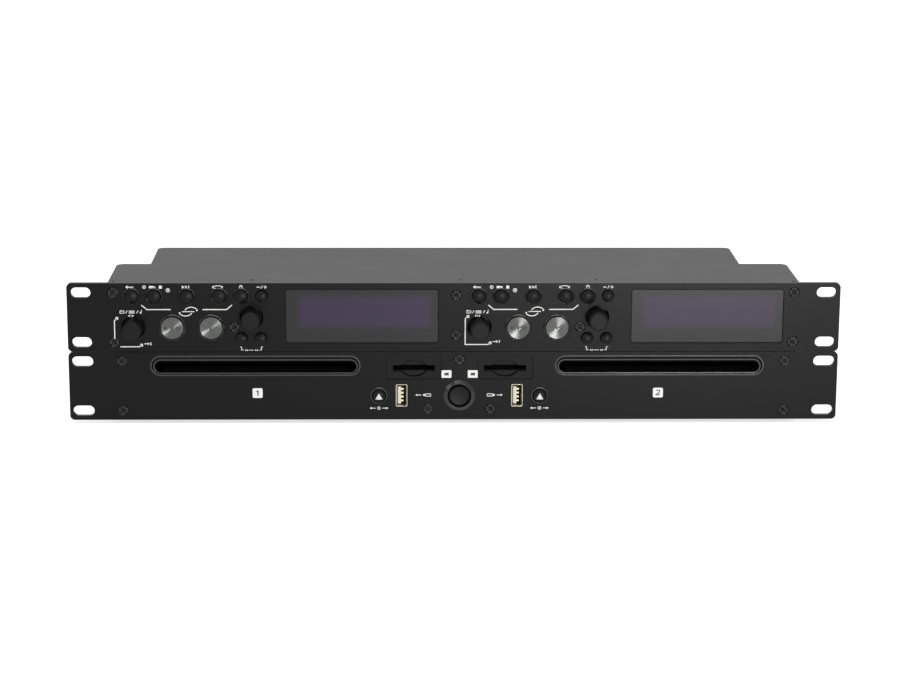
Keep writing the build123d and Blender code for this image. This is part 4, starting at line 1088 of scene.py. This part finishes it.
class PLAYER_OT_studio(bpy.types.Operator):
    """Builds the pale floor, the soft lamps, the room light and the camera"""

    bl_idname = "player.studio"
    bl_label = "Floor, lamps and camera"

    def execute(self, context):
        studio = context.scene.player_studio
        self.floor()
        # Overhead softbox: lights the covers and puts a highlight on each crown
        self.lamp("top_softbox", (0.1, -0.55, 1.7), (0, 0.05, 0.05), (1.8, 1.1), studio.top_power)
        # Low softbox, right of the camera: its glow in the satin panels fades towards the left end
        self.lamp(
            "front_softbox", (0.34, -1.6, 0.1), (0.1, -0.17, 0.05), (0.36, 0.16), studio.low_power
        )
        # Side softbox: draws the left edges of what stands proud
        self.lamp("side_softbox", (-1.5, -0.9, 0.9), (0, -0.1, 0.05), (0.8, 0.8), studio.side_power)
        self.room(studio.fill)
        self.camera()
        return {"FINISHED"}

    def floor(self):
        """Pale board: plain matt white that is the background and keeps the player's shadow."""
        lift = 0.67  # what the lamps leave short of white
        material, tree, place = new_surface("pale_matt_board")
        patch = add_node(tree, "ShaderNodeTexNoise", {"Vector": place, "Scale": 2.0, "Detail": 2.0})
        tone = add_node(
            tree, "ShaderNodeMix",
            {0: patch.outputs["Fac"], 6: opaque(linear("E2E2E1")), 7: opaque(linear("E6E6E5"))},
            data_type="RGBA",
        )
        board = add_node(
            tree, "ShaderNodeBsdfPrincipled",
            {"Base Color": tone.outputs[2], "Roughness": 0.9, "Specular IOR Level": 0.1},
        )
        level = add_node(
            tree, "ShaderNodeMath", {0: seen_directly(tree), 1: lift}, operation="MULTIPLY"
        )
        glow = add_node(
            tree, "ShaderNodeEmission", {"Color": WHITE, "Strength": level.outputs[0]}
        )
        both = add_node(
            tree, "ShaderNodeAddShader", {0: board.outputs["BSDF"], 1: glow.outputs["Emission"]}
        )
        add_node(tree, "ShaderNodeOutputMaterial", {"Surface": both.outputs["Shader"]})
        bm = bmesh.new()
        bmesh.ops.create_grid(bm, x_segments=8, y_segments=8, size=9.0)
        mesh = bpy.data.meshes.new("floor")
        bm.to_mesh(mesh)
        bm.free()
        mesh.materials.append(material)
        floor = new_object("floor", mesh)

    def lamp(self, name, place, target, size, power):
        """A rectangular softbox that faces its target, in metres and watts."""
        light = bpy.data.lights.new(name, "AREA")
        light.shape = "RECTANGLE"
        light.size, light.size_y = size
        light.energy = power
        lamp = new_object(name, light)
        lamp.location = place
        facing = Vector(target) - Vector(place)
        lamp.rotation_euler = facing.to_track_quat("-Z", "Y").to_euler()
        lamp.visible_camera = False

    def room(self, strength):
        """Even room light, seen as plain white."""
        world = bpy.data.worlds.new("room")
        world.use_nodes = True
        tree = world.node_tree
        tree.nodes.clear()
        level = add_node(
            tree, "ShaderNodeMapRange",
            {"Value": seen_directly(tree), "To Min": strength, "To Max": 1.0},
        )
        light = add_node(
            tree, "ShaderNodeBackground", {"Color": WHITE, "Strength": level.outputs["Result"]}
        )
        add_node(tree, "ShaderNodeOutputWorld", {"Surface": light.outputs["Background"]})
        bpy.context.scene.world = world

    def camera(self):
        """Camera a little above and left of the player's middle, turned back towards it."""
        picture_width, focal_length = 900, 2492  # pixels
        lens = bpy.data.cameras.new("view")
        lens.sensor_fit = "HORIZONTAL"
        lens.sensor_width = 36.0
        lens.lens = focal_length * 36 / picture_width
        lens.clip_start, lens.clip_end = 0.05, 60.0
        pitch, yaw, roll = radians(13.495), radians(1.2545), radians(0.248)
        ahead = Vector((sin(yaw) * cos(pitch), cos(yaw) * cos(pitch), -sin(pitch)))
        right = Vector((cos(yaw), -sin(yaw), 0))
        down = ahead.cross(right)
        turned_right = cos(roll) * right - sin(roll) * down
        turned_down = sin(roll) * right + cos(roll) * down
        turn = Matrix((turned_right, -turned_down, -ahead)).transposed().to_4x4()
        camera = new_object("view", lens)
        camera.matrix_world = Matrix.Translation((-0.036, -1.684, 0.4195)) @ turn
        bpy.context.scene.camera = camera


class PLAYER_PT_sidebar(bpy.types.Panel):
    """Lists the player's steps and values"""

    bl_idname = "PLAYER_PT_sidebar"
    bl_label = "Disc player"
    bl_space_type = "VIEW_3D"
    bl_region_type = "UI"
    bl_category = "Player"

    def draw(self, context):
        for group in GROUPS:
            values = getattr(context.scene, group)
            column = self.layout.column()
            for name in values.__annotations__:
                column.prop(values, name)
        for step in STEPS:
            self.layout.operator(step.bl_idname)


STEPS = (
    PLAYER_OT_cases,
    PLAYER_OT_controls,
    PLAYER_OT_fittings,
    PLAYER_OT_control_marks,
    PLAYER_OT_window_shade_lines,
    PLAYER_OT_drive_marks,
    PLAYER_OT_button_marks,
    PLAYER_OT_usb_contacts,
    PLAYER_OT_screw_highlight_rings,
    PLAYER_OT_rear_sockets,
    PLAYER_OT_studio,
)
GROUPS = {
    "player_marks": PlayerMarks,
    "player_colours": PlayerColours,
    "player_studio": PlayerStudio,
}


def register():
    for name, group in GROUPS.items():
        bpy.utils.register_class(group)
        setattr(bpy.types.Scene, name, bpy.props.PointerProperty(type=group))
    for step in (*STEPS, PLAYER_PT_sidebar):
        bpy.utils.register_class(step)


def unregister():
    for step in (*STEPS, PLAYER_PT_sidebar):
        bpy.utils.unregister_class(step)
    for name, group in GROUPS.items():
        delattr(bpy.types.Scene, name)
        bpy.utils.unregister_class(group)


def main():
    register()
    bpy.context.scene.view_settings.view_transform = "Standard"
    make_inks()
    bpy.ops.player.cases()
    bpy.ops.player.controls()
    bpy.ops.player.fittings()
    bpy.ops.player.control_marks()
    bpy.ops.player.window_seals()
    bpy.ops.player.drive_marks()
    bpy.ops.player.button_marks()
    bpy.ops.player.usb_contacts()
    bpy.ops.player.screw_rings()
    bpy.ops.player.rear_sockets()
    bpy.ops.player.studio()


if __name__ == "__main__":
    main()
